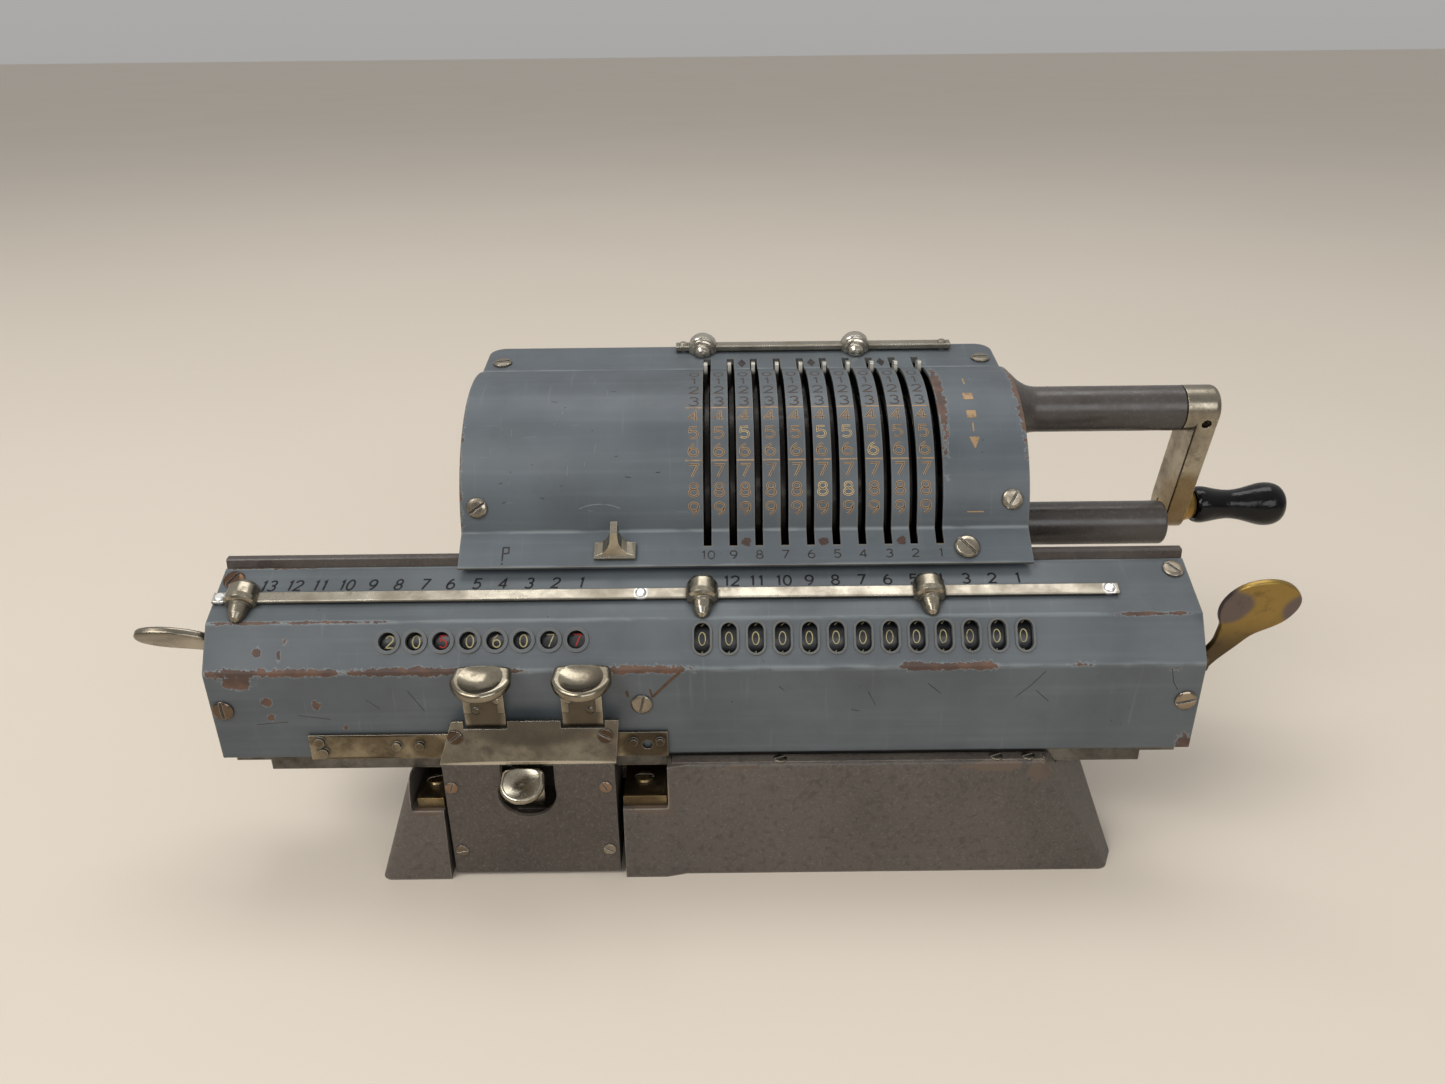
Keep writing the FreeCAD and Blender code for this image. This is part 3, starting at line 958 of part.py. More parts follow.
def box_top_plate():
    plate = prism_x(TOP_PLATE, TOP_PLATE_LEFT[0], TOP_PLATE_RIGHT[1])
    low, high = TOP_PLATE[0][1], TOP_PLATE[1][1] + 0.01
    outside = [wedge_xz([(TOP_PLATE_LEFT[0], low), (TOP_PLATE_LEFT[1], high), (-95, high), (-95, low)], -72, -60),
               wedge_xz([(TOP_PLATE_RIGHT[0], 30), (TOP_PLATE_RIGHT[0], low), (TOP_PLATE_RIGHT[1], high),
                         (-30, high), (-30, 30)], -72, -60)]
    half = STEM_W / 2 + 0.5
    gaps = [box(c - half, c + half, -70, -60, 51.8, 60) for c in (KEY_LEFT, KEY_RIGHT)]
    return plate.cut(outside + gaps + [screw_hole(p, n, r + 0.1, 3) for p, n, _, r in TOP_SCREWS])


def thumb_pad(x, y, z, width, depth, tilt, thickness, dish_depth):
    """Dished D-shaped key top: nearly straight at the back, round at the front."""
    half = width / 2
    left = Vector(-half * 0.93, depth * 0.42, 0)
    right = Vector(half * 0.93, depth * 0.42, 0)
    low_left = Vector(-half, -depth * 0.02, 0)
    low_right = Vector(half, -depth * 0.02, 0)
    edges = [Part.Arc(left, Vector(0, depth * 0.47, 0), right).toShape(), Part.makeLine(right, low_right),
             Part.Arc(low_right, Vector(0, -depth * 0.55, 0), low_left).toShape(),
             Part.makeLine(low_left, left)]
    pad = Part.Face(Part.Wire(edges)).extrude(Vector(0, 0, thickness))
    upright = [e for e in pad.Edges if abs(e.Vertexes[0].Z - e.Vertexes[-1].Z) > thickness / 2]
    pad = pad.makeFillet(1.8, upright)
    pad = pad.makeFillet(thickness * 0.4, [e for e in pad.Edges
                                           if abs(e.Vertexes[0].Z - e.Vertexes[-1].Z) < 0.01])
    ball_r = (depth * 0.5) ** 2 / (2 * dish_depth)
    dish = Part.makeSphere(ball_r, Vector(0, depth * 0.03, ball_r + thickness - dish_depth))
    pad = pad.cut(dish)
    pad.rotate(Vector(0, 0, 0), Vector(1, 0, 0), tilt)
    pad.translate(Vector(x, y, z))
    return pad


def thumb_key(centre, rivet_side):
    """Carriage shift key: dished thumb pad on a flat stem that runs down into the box."""
    pad = thumb_pad(centre + PAD_SHIFT, -69.5, 67.4, 16.6, 12.4, 12.0, 3.2, 1.3)
    half = STEM_W / 2
    low_half = half - STEM_STEP
    front = STEM_Y[0]
    stem = box(centre - half, centre + half, front, STEM_Y[1], 50.0, 69.4)
    stem = stem.fuse(box(centre - low_half, centre + low_half, front, STEM_Y[1], 8.0, 50.0))
    ribs = [box(centre - half, centre - half + 1.8, front - 0.4, front + 0.1, 56.6, 66.0),
            box(centre + half - 1.8, centre + half, front - 0.4, front + 0.1, 56.6, 66.0)]
    web = prism_x([(front + 0.2, 69.2), (front + 0.2, 63.6), (-68.9, 66.9), (-68.9, 68.6)],
                  centre - 3.2, centre + 3.2)
    rivets = [revolve([(0, 1.1), (0.35, 1.1), (0.6, 0.7)], (centre + rivet_side * dx, front, z), (0, -1, 0),
                      (0, 0, 1)) for dx, z in ((-2.3, 57.2), (3.6, 60.4))]
    return stem.fuse(ribs + [web, pad] + rivets).removeSplitter()


def release_key():
    """Short centre key that stands out of the box's window."""
    pad = thumb_pad(-64.6, -71.8, 35.6, 12.8, 10.5, 25.0, 2.2, 0.7)
    arm = prism_x([(-71.0, 35.9), (-71.0, 36.9), (-67.3, 38.6), (-64.0, 37.8), (-62.0, 34.6), (-62.0, 22.0),
                   (-63.4, 22.0), (-63.6, 33.2), (-65.4, 35.2), (-68.0, 36.2)], -68.6, -60.2)
    return arm.fuse(pad).removeSplitter()


# ---------------------------------------------------------------- clearing slide on the flange
KNOB_MIDDLE = (KNOB_X[0] + KNOB_X[1]) / 2
KNOB_STEM = 5.0                 # width of the knob's stem in the flange


def on_flange(shape):
    """Places a shape built with X along the flange, Y up its slope and Z outward."""
    up = Vector(0, FLANGE_DIR[0], FLANGE_DIR[1])
    out = Vector(0, FLANGE_OUT[0], FLANGE_OUT[1])
    shape.Placement = FreeCAD.Placement(Vector(KNOB_MIDDLE, FLANGE_F[0], FLANGE_F[1]),
                                        FreeCAD.Rotation(Vector(1, 0, 0), up, out, "XZY"))
    return shape


def knob_slot():
    return on_flange(Part.makeBox(KNOB_STEM + KNOB_TRAVEL + 0.2, 1.1, 6, Vector(-KNOB_STEM / 2 - 0.1, 2.35, -3)))


def clearing_knob():
    """Y-shaped thumb piece on the flange; its stem goes through a short slot to a foot below."""
    out = Vector(0, FLANGE_OUT[0], FLANGE_OUT[1])
    up = Vector(0, FLANGE_DIR[0], FLANGE_DIR[1])
    seat = Vector(KNOB_MIDDLE, FLANGE_F[0], FLANGE_F[1]) + up * 2.1 + out * 0.1
    half = (KNOB_X[1] - KNOB_X[0]) / 2
    flank = [(half, 0.0), (half, 1.3), (3.5, 2.3), (2.0, 3.7), (1.3, 5.4), (1.0, 8.7)]
    base_pts = flank + [(-a, b) for a, b in reversed(flank)]
    tall = Vector(0, -0.05, 1.0).normalize()
    front = [seat + Vector(a, 0, 0) + tall * b for a, b in base_pts]
    fin = Part.Face(Part.makePolygon(front + front[:1])).extrude(Vector(0, 3.4, 2.2))
    pad = Part.Face(Part.makePolygon([seat + Vector(-half, 0, 0), seat + Vector(half, 0, 0),
                                      seat + Vector(half, 0, 0) + up * 5.2,
                                      seat + Vector(-half, 0, 0) + up * 5.2,
                                      seat + Vector(-half, 0, 0)])).extrude(out * 1.2)
    below = Part.makeBox(40, 40, 40, Vector(-20, -20, -40))
    below.Placement = FreeCAD.Placement(seat, FreeCAD.Rotation(Vector(1, 0, 0), up, out, "XZY"))
    knob = fin.fuse(pad).removeSplitter().cut(below)
    stem = on_flange(Part.makeBox(KNOB_STEM, 0.9, 2.3, Vector(-KNOB_STEM / 2, 2.45, -SHEET - 0.8)))
    foot = on_flange(Part.makeBox(KNOB_STEM + 1.6, 2.4, 0.7, Vector(-KNOB_STEM / 2 - 0.8, 1.0, -SHEET - 0.8)))
    return knob.fuse([stem, foot]).removeSplitter()


# ---------------------------------------------------------------- build
def frame_screws():
    screws = [slotted_screw(p, n, turn) for p, n, turn in COVER_SCREWS]
    screws += [slotted_screw(p, n, turn, shank=3.4) for p, n, turn in REAR_SCREWS]
    screws.append(slotted_screw(FLANGE_SCREW, (0, FLANGE_OUT[0], FLANGE_OUT[1]), 130, r=3.6, head=1.4, shank=1.0))
    screws += [slotted_screw(p, n, turn, r=r, head=0.5, shank=2.4) for p, n, turn, r in BOX_SCREWS]
    screws += [slotted_screw(p, n, turn, r=r, head=0.5, shank=0.5) for p, n, turn, r in TOP_SCREWS]
    screws += [slotted_screw((x, LEDGE_Y, BASE_TOP + 0.15), (0, 0, 1), 25, r=1.9, head=0.5, shank=5)
               for x in LEDGE_SCREWS_X]
    screws += [slotted_screw((x, BRACKET_SCREWS_Y, POCKET_Z + 2.6), (0, 0, 1), turn, r=2.9, head=1.6, shank=6)
               for x, turn in zip(BRACKET_SCREWS_X, (20, 0))]
    screws += [slotted_screw((x, y, PLATE_Z), (0, 0, -1), 15, r=3.0, head=0.9, shank=9) for x, y in PLATE_SCREWS]
    return group(screws)


def carriage_screws():
    return group([slotted_screw(p, n, turn, r=3.0, head=0.9, shank=2.4) for p, n, turn in CAR_SCREWS])


def build():
    save("base_casting", base_casting())
    save("bottom_plate", bottom_plate())
    save("rubber_feet", rubber_feet())
    save("left_side_frame", left_side_frame())
    save("right_side_frame", right_side_frame())
    save("right_cheek", right_cheek())
    save("drum_cover", drum_cover())
    save("rear_cover", rear_cover())
    save("frame_screws", frame_screws())
    save("front_guide_rail", front_guide_rail())
    save("cross_bar", cross_bar())
    save("escapement_bracket", escapement_bracket())
    save("box_housing", box_housing())
    save("box_front_plate", box_front_plate())
    save("box_top_plate", box_top_plate())
    save("top_pointer_rail", top_pointer_rail())
    save("bearing_bushes", bearing_bushes())
    save("drum_shaft", drum_shaft())
    save("pinwheels", group([pinwheel(x) for x in SLOTS_X]))
    save("setting_pins", group([radial_pin(x + PIN_X, k, 1.1, 19.1, 11.2) for x in SLOTS_X for k in range(PINS)]))
    save("drum_gear", train_gear(TRAIN_N, DRUM_Y, DRUM_Z, DRUM_PHASE, DRUM_SHAFT_R))
    for i, x in enumerate(SLOTS_X):
        save("setting_lever_%02d" % (DIGITS_SET - i), setting_lever(x))
    save("crank_shaft", crank_shaft())
    save("crank_gear", train_gear(TRAIN_N, CRANK_Y, CRANK_Z, CRANK_PHASE, CRANK_SHAFT_R))
    save("crank_arm", crank_arm())
    save("handle_spindle", handle_spindle())
    save("handle_grip", handle_grip())
    save("idler_gear", train_gear(IDLER_N, IDLER_Y, IDLER_Z, IDLER_PHASE, 2.0))
    save("carriage_cover", carriage_cover())
    save("carriage_end_left", carriage_end(CAR_LEFT + 0.5, [WHEEL_C + (1.95,), IDLE_C + (1.95,)]))
    save("carriage_end_right", carriage_end(CAR_RIGHT - 0.5 - END_T, [WHEEL_C + (1.95,), IDLE_C + (1.95,),
                                                                     (CLEAR_Y, CLEAR_Z, 2.0)]))
    save("carriage_bed", carriage_bed())
    save("carriage_top_bar", carriage_top_bar())
    save("register_shafts", register_shafts())
    save("result_wheels", group([number_wheel(x, 0.0) for x in RESULT_X]))
    save("counter_wheels", group([number_wheel(x, 0.0) for x in COUNT_X]))
    save("intermediate_gears", intermediate_gears())
    save("pointer_rail", pointer_rail())
    for name, x in zip(("pointer_left", "pointer_middle", "pointer_right"), POINTERS_X):
        save(name, carriage_pointer(x))
    save("carriage_screws", carriage_screws())
    save("rack_strip", rack_strip())
    save("clear_lever_left", clear_lever_left())
    save("clear_lever_right", clear_lever_right())
    save("left_shift_key", thumb_key(KEY_LEFT, 1))
    save("right_shift_key", thumb_key(KEY_RIGHT, -1))
    save("release_key", release_key())
    save("top_pointer_left", top_pointer(TOP_POINTERS_X[0]))
    save("top_pointer_right", top_pointer(TOP_POINTERS_X[1]))
    save("clearing_knob", clearing_knob())


build()
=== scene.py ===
"""Looks for the pinwheel calculator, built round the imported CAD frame."""
import math
import random

import bmesh
import bpy
from mathutils import Matrix, Vector


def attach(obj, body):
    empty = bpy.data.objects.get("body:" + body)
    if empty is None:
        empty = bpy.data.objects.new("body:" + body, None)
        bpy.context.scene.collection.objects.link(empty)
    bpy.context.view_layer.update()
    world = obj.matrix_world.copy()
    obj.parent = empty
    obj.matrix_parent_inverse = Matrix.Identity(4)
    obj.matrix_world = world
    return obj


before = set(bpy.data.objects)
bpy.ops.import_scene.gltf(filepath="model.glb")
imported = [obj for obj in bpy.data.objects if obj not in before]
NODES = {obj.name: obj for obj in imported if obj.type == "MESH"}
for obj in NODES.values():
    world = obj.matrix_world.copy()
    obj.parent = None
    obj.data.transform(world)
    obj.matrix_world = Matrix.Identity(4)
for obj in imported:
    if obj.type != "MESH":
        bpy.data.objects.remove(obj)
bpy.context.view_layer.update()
MM = 0.001

# ---------------------------------------------------------------- sizes, in millimetres
# Pairs are (y, z) places on a cross section; X runs from left to right along the machine.
PITCH = 7.5                             # between neighbouring digits and slots
SLOT_X1, SLOTS = -11.7, 10              # leftmost setting slot, and how many
DRUM_C = (9.2, 91.5)                    # the drum's axis
TIP_INNER, TIP_OUTER = 38.4, 40.5       # lever tips turn from painted shade to bright steel between these radii
COVER_C, COVER_R = (8.2, 91.5), 40.0    # arc of the drum cover
CREASE = (19.0, 130.0)                  # where the cover's arc meets the flat top plate
PLATE_BACK = (36.6, 132.8)
FLANGE_LOW = (-40.8, 89.3)              # edges of the flange in front of the drum cover
FLANGE_HIGH = (-31.5, 96.3)
CAR_FOOT = (-62.4, 39.5)                # the carriage cover's section, from its foot to its back
RIDGE = (-63.0, 68.4)
BEND = (-54.9, 80.0)
CAR_TOP = (-36.6, 88.0)
RESULT_X1, RESULTS = -13.4, 13          # leftmost result wheel, and how many
COUNT_X1 = -100.9                       # leftmost counter wheel
COUNT_SHOWN = (2, 0, 5, 0, 6, 0, 7, 7)  # digits in the counter's windows
COUNT_RED = (2, 7)                      # places of the red digits
WHEEL_R = 8.75
WINDOW_UP = 8.55                        # windows' centre line, up the slope from the ridge
WHEEL_DEPTH = 1.7                       # wheel face below the sheet's outside
KEY_X = (-74.4, -47.1)                  # the two shift keys
RIVET_X = (-149.9, -30.7, 102.0)        # rivets of the pointer rail
ARROW_X, MINUS_X = 66.7, 66.4           # marks right of the slots


def unit(a, b):
    """Direction from a to b and the outward normal, in the (y, z) plane."""
    length = math.hypot(b[0] - a[0], b[1] - a[1])
    along = ((b[0] - a[0]) / length, (b[1] - a[1]) / length)
    return along, (-along[1], along[0])


UP_TOP, OUT_TOP = unit(BEND, CAR_TOP)
UP_WIN, OUT_WIN = unit(RIDGE, BEND)
UP_LOW, OUT_LOW = unit(CAR_FOOT, RIDGE)
UP_FLANGE, OUT_FLANGE = unit(FLANGE_LOW, FLANGE_HIGH)
UP_PLATE, OUT_PLATE = unit(CREASE, PLATE_BACK)
WHEEL_C = (RIDGE[0] + UP_WIN[0] * WINDOW_UP - OUT_WIN[0] * (WHEEL_DEPTH + WHEEL_R),
           RIDGE[1] + UP_WIN[1] * WINDOW_UP - OUT_WIN[1] * (WHEEL_DEPTH + WHEEL_R))
WINDOW_ANGLE = math.degrees(math.atan2(OUT_WIN[1], -OUT_WIN[0]))


# ---------------------------------------------------------------- material node helper
class Graph:
    """A material's node tree, built from short calls."""

    def __init__(self, name):
        self.mat = bpy.data.materials.new(name)
        self.mat.use_nodes = True
        self.tree = self.mat.node_tree
        self.tree.nodes.clear()
        self.coords = self.node("TexCoord").outputs["Object"]
        self.split = self.node("SeparateXYZ", {0: self.coords})

    def node(self, kind, inputs=None, **settings):
        """Adds a node; an input that is a socket is linked, any other value is set."""
        made = self.tree.nodes.new("ShaderNode" + kind)
        for key, value in settings.items():
            setattr(made, key, value)
        for key, value in (inputs or {}).items():
            if isinstance(value, bpy.types.NodeSocket):
                self.tree.links.new(value, made.inputs[key])
            else:
                made.inputs[key].default_value = value
        return made

    def math(self, operation, a, b=0.0, clamp=False):
        return self.node("Math", {0: a, 1: b}, operation=operation, use_clamp=clamp).outputs[0]

    def noise(self, scale, detail=2.0, stretch=(1, 1, 1), rough=0.5, shift=0.0):
        source = self.node("Mapping", {"Vector": self.coords, "Scale": stretch,
                                       "Location": (shift, shift * 1.7, shift * 2.3)})
        return self.node("TexNoise", {"Vector": source.outputs[0], "Scale": scale, "Detail": detail,
                                      "Roughness": rough}).outputs["Fac"]

    def cells(self, scale, stretch=(1, 1, 1)):
        source = self.node("Mapping", {"Vector": self.coords, "Scale": stretch})
        return self.node("TexVoronoi", {"Vector": source.outputs[0], "Scale": scale}).outputs["Distance"]

    def ramp(self, value, low, high, out_low=0.0, out_high=1.0):
        """Value from low..high mapped smoothly to out_low..out_high."""
        return self.node("MapRange", {"Value": value, "From Min": low, "From Max": high, "To Min": out_low,
                                      "To Max": out_high}, interpolation_type="SMOOTHSTEP").outputs[0]

    def mix(self, factor, a, b):
        made = self.node("Mix", {0: factor}, data_type="RGBA")
        for key, value in ((6, a), (7, b)):
            if isinstance(value, bpy.types.NodeSocket):
                self.tree.links.new(value, made.inputs[key])
            else:
                made.inputs[key].default_value = value
        return made.outputs[2]

    def blend(self, factor, a, b):
        """Plain number mix."""
        return self.node("Mix", {0: factor, 2: a, 3: b}, data_type="FLOAT").outputs[0]

    def edges(self, radius):
        """How sharply the surface turns nearby: 0 on flat parts, towards 1 on edges."""
        soft = self.node("Bevel", {"Radius": radius * MM}, samples=4).outputs[0]
        plain = self.node("NewGeometry").outputs["Normal"]
        same = self.node("VectorMath", {0: soft, 1: plain}, operation="DOT_PRODUCT").outputs["Value"]
        return self.math("SUBTRACT", 1.0, same, clamp=True)

    def near_line(self, point, reach):
        """1 on the X-parallel line through (y, z), 0 beyond reach millimetres."""
        dy = self.math("SUBTRACT", self.split.outputs[1], point[0] * MM)
        dz = self.math("SUBTRACT", self.split.outputs[2], point[1] * MM)
        squares = self.math("ADD", self.math("MULTIPLY", dy, dy), self.math("MULTIPLY", dz, dz))
        far = self.math("SQRT", squares)
        return self.math("SUBTRACT", 1.0, self.math("DIVIDE", far, reach * MM), clamp=True)

    def span_x(self, start, stop, soft=6.0):
        """1 between two X places, in millimetres, fading over soft."""
        rise = self.ramp(self.split.outputs[0], (start - soft) * MM, (start + soft) * MM)
        fall = self.ramp(self.split.outputs[0], (stop - soft) * MM, (stop + soft) * MM, 1.0, 0.0)
        return self.math("MULTIPLY", rise, fall)

    def patch(self, centre, radii):
        """1 in the middle of an ellipsoid, 0 at its surface; centre and radii in millimetres."""
        away = self.node("VectorMath", {0: self.coords, 1: [c * MM for c in centre]}, operation="SUBTRACT")
        scaled = self.node("VectorMath", {0: away.outputs[0], 1: [1 / (r * MM) for r in radii]},
                           operation="MULTIPLY")
        far = self.node("VectorMath", {0: scaled.outputs[0]}, operation="LENGTH").outputs["Value"]
        return self.math("SUBTRACT", 1.0, far, clamp=True)

    def crevice(self, reach, low=0.35, high=0.85):
        """1 deep in slots and corners, 0 in the open; reach in millimetres."""
        open_sky = self.node("AmbientOcclusion", {"Distance": reach * MM}, samples=4).outputs["AO"]
        return self.ramp(open_sky, low, high, 1.0, 0.0)

    def finish(self, colour, rough, metallic=0.0, height=None, bump=0.1, round_edge=0.25, shine=0.5,
               **extra):
        """Shader and output; extra holds further shader settings, such as coat_weight."""
        normal = self.node("Bevel", {"Radius": round_edge * MM}, samples=4).outputs[0]
        if height is not None:
            normal = self.node("Bump", {"Height": height, "Strength": bump, "Distance": MM,
                                        "Normal": normal}).outputs[0]
        shader = self.node("BsdfPrincipled", {"Base Color": colour, "Roughness": rough, "Metallic": metallic,
                                              "Normal": normal})
        shader.inputs["Specular IOR Level"].default_value = shine
        for key, value in extra.items():
            shader.inputs[key.replace("_", " ").title()].default_value = value
        out = self.node("OutputMaterial")
        self.tree.links.new(shader.outputs[0], out.inputs[0])
        return self.mat


def rgb(code):
    """Linear colour from a hex sRGB code."""
    parts = [int(code[i:i + 2], 16) / 255 for i in (0, 2, 4)]
    return tuple(p / 12.92 if p <= 0.04045 else ((p + 0.055) / 1.055) ** 2.4 for p in parts) + (1.0,)


# ---------------------------------------------------------------- materials
PRIMER = rgb("46342c")
RUST = rgb("5f4536")
BRASS_EDGE = rgb("7d6840")
# pale grey for paint rubbed thin, and for the painted highlight on edges and folds
PALE_RUB_AND_HIGHLIGHT = rgb("7f8789")


def enamel(name, dark, light, lines=(), patches=(), fold_rub_and_highlight=(), edge_wear=0.5):
    """Blue-grey stoving enamel with polish streaks, specks, worn edges and painted shade in slots and
    corners. Lines (point, reach, x ranges) and patches (centre, radii, strength) are worn through to primer;
    fold lines are paint worn thin with a painted highlight, pale only."""
    g = Graph(name)
    cloud = g.ramp(g.noise(22, 4, rough=0.6), 0.3, 0.7)
    colour = g.mix(cloud, rgb(dark), rgb(light))
    streak = g.ramp(g.noise(1.0, 3, (14, 420, 420)), 0.48, 0.75, 0.0, 0.06)
    colour = g.mix(streak, colour, rgb("8d969a"))
    hatch = g.ramp(g.noise(1.0, 2, (600, 40, 40), shift=3.1), 0.62, 0.8, 0.0, 0.10)
    colour = g.mix(hatch, colour, rgb("969da0"))
    # random clouds of dark grime
    darkening = g.ramp(g.noise(60, 5, rough=0.7, shift=1.3), 0.5, 0.8, 0.0, 0.35)
    colour = g.mix(darkening, colour, rgb("3c3d3b"))
    speck = g.math("MULTIPLY", g.ramp(g.cells(260), 0.05, 0.10, 1.0, 0.0),
                   g.ramp(g.noise(70, 1, shift=5.0), 0.56, 0.6))
    colour = g.mix(g.math("MULTIPLY", speck, 0.7), colour, rgb("2f2b29"))
    edge = g.edges(0.9)
    # pale on every edge: paint rubbed thin, with a painted highlight
    colour = g.mix(g.ramp(edge, 0.03, 0.25, 0.0, 0.35), colour, PALE_RUB_AND_HIGHLIGHT)
    # pale lines along the folds: paint rubbed thin, with a painted highlight
    for point, reach, strength in fold_rub_and_highlight:
        broken = g.ramp(g.noise(1.0, 3, (70, 300, 300)), 0.3, 0.6, 0.35, 1.0)
        band = g.math("MULTIPLY", g.near_line(point, reach), broken)
        colour = g.mix(g.math("MULTIPLY", g.ramp(band, 0.15, 0.85), strength), colour, PALE_RUB_AND_HIGHLIGHT)
    fine = g.noise(900, 3, rough=0.6, shift=2.0)
    mid = g.noise(300, 4, rough=0.65, shift=2.0)
    long_wave = g.noise(1.0, 3, (60, 25, 25), shift=4.0)
    short_waves = g.math("ADD", g.math("MULTIPLY", fine, 0.9), g.math("MULTIPLY", mid, 1.1))
    ragged = g.math("SUBTRACT", g.math("ADD", short_waves, g.math("MULTIPLY", long_wave, 0.7)), 1.35)
    bare = g.ramp(g.math("ADD", g.math("MULTIPLY", edge, 2.2 * edge_wear), g.math("MULTIPLY", mid, 0.6)),
                  0.62, 0.70)
    halo = 0.0      # pale thinned paint round the bare spots
    places = [(g.near_line(point, reach), g.span_x(start, stop), strength)
              for point, reach, ranges in lines for start, stop, strength in ranges]
    places += [(g.patch(centre, radii), 1.0, strength) for centre, radii, strength in patches]
    for shape, span, strength in places:
        worn = g.math("MULTIPLY", g.math("MULTIPLY", shape, span), strength)
        score = g.math("ADD", worn, ragged)
        gate = g.ramp(worn, 0.02, 0.10)
        bare = g.math("MAXIMUM", bare, g.math("MULTIPLY", g.ramp(score, 0.42, 0.47), gate))
        halo = g.math("MAXIMUM", halo, g.math("MULTIPLY", g.ramp(score, 0.30, 0.40), gate))
    colour = g.mix(g.math("MULTIPLY", halo, 0.45), colour, PALE_RUB_AND_HIGHLIGHT)
    metal_edge = g.ramp(g.math("ADD", edge, g.math("MULTIPLY", g.noise(150, 2, shift=7.0), 0.25)), 0.3, 0.42)
    undercoat = g.mix(g.ramp(g.noise(180, 3), 0.35, 0.65), PRIMER, RUST)
    undercoat = g.mix(g.math("MULTIPLY", metal_edge, 0.8), undercoat, BRASS_EDGE)
    colour = g.mix(bare, colour, undercoat)
    # painted shade: slots and corners darkened to near black, from ambient occlusion
    colour = g.mix(g.math("MULTIPLY", g.crevice(1.6), 0.6), colour, rgb("1d1b19"))
    rough = g.blend(bare, g.ramp(g.noise(40, 4, shift=4.0), 0.3, 0.7, 0.40, 0.54), 0.65)
    height = g.math("ADD", g.math("MULTIPLY", g.noise(380, 2), 0.05), g.math("MULTIPLY", bare, -0.25))
    return g.finish(colour, rough, height=height, bump=0.25, coat_weight=0.05, coat_roughness=0.3)


def crinkle(name, dark, light, chips, patches=()):
    """Brown-grey wrinkle paint: fine speckled grain, chipped where it is touched, bright on sharp edges."""
    g = Graph(name)
    grain = g.noise(1500, 2, rough=0.6)
    grain_wide = g.noise(600, 3, shift=2.2)
    cloud = g.ramp(g.noise(26, 4, shift=1.0), 0.3, 0.7)
    colour = g.mix(cloud, rgb(dark), rgb(light))
    colour = g.mix(g.ramp(grain, 0.5, 0.75, 0.0, 0.4), colour, rgb("776f66"))
    colour = g.mix(g.ramp(grain_wide, 0.3, 0.5, 0.4, 0.0), colour, rgb("2e2926"))
    edge = g.edges(1.1)
    mid = g.noise(230, 4, rough=0.7, shift=6.0)
    bare = g.ramp(g.math("ADD", g.math("MULTIPLY", edge, chips), g.math("MULTIPLY", mid, 0.62)), 0.62, 0.68)
    for centre, radii, strength in patches:
        worn = g.math("MULTIPLY", g.patch(centre, radii), strength)
        score = g.math("ADD", worn, g.math("MULTIPLY", g.math("SUBTRACT", mid, 0.5), 1.4))
        bare = g.math("MAXIMUM", bare, g.math("MULTIPLY", g.ramp(score, 0.38, 0.42), g.ramp(worn, 0.02, 0.1)))
    undercoat = g.mix(g.noise(90, 3), rgb("463a32"), rgb("655548"))
    undercoat = g.mix(g.ramp(edge, 0.10, 0.26, 0.0, 0.8), undercoat, rgb("a39b8e"))
    colour = g.mix(bare, colour, undercoat)
    rough = g.blend(bare, g.ramp(cloud, 0.0, 1.0, 0.40, 0.52), 0.35)
    height = g.math("ADD", g.math("MULTIPLY", grain, 0.35), g.math("MULTIPLY", grain_wide, 0.3))
    height = g.math("SUBTRACT", height, g.math("MULTIPLY", bare, 0.5))
    return g.finish(colour, rough, height=height, bump=0.22, round_edge=0.5)


def casting(name, dark, light):
    """Smooth dark brown-grey paint on the cheek, tubes and carriage ends."""
    g = Graph(name)
    cloud = g.ramp(g.noise(45, 4, rough=0.6), 0.3, 0.7)
    colour = g.mix(cloud, rgb(dark), rgb(light))
    fine = g.noise(900, 2)
    colour = g.mix(g.ramp(fine, 0.5, 0.8, 0.0, 0.3), colour, rgb("6a615b"))
    edge = g.edges(0.7)
    bare = g.ramp(g.math("ADD", g.math("MULTIPLY", edge, 1.2),
                         g.math("MULTIPLY", g.noise(250, 4, rough=0.7), 0.6)), 0.66, 0.74)
    colour = g.mix(bare, colour, rgb("6e5342"))
    rough = g.ramp(g.noise(160, 3), 0.3, 0.7, 0.24, 0.38)
    return g.finish(colour, rough, height=g.math("MULTIPLY", fine, 0.12), bump=0.15, round_edge=0.4)


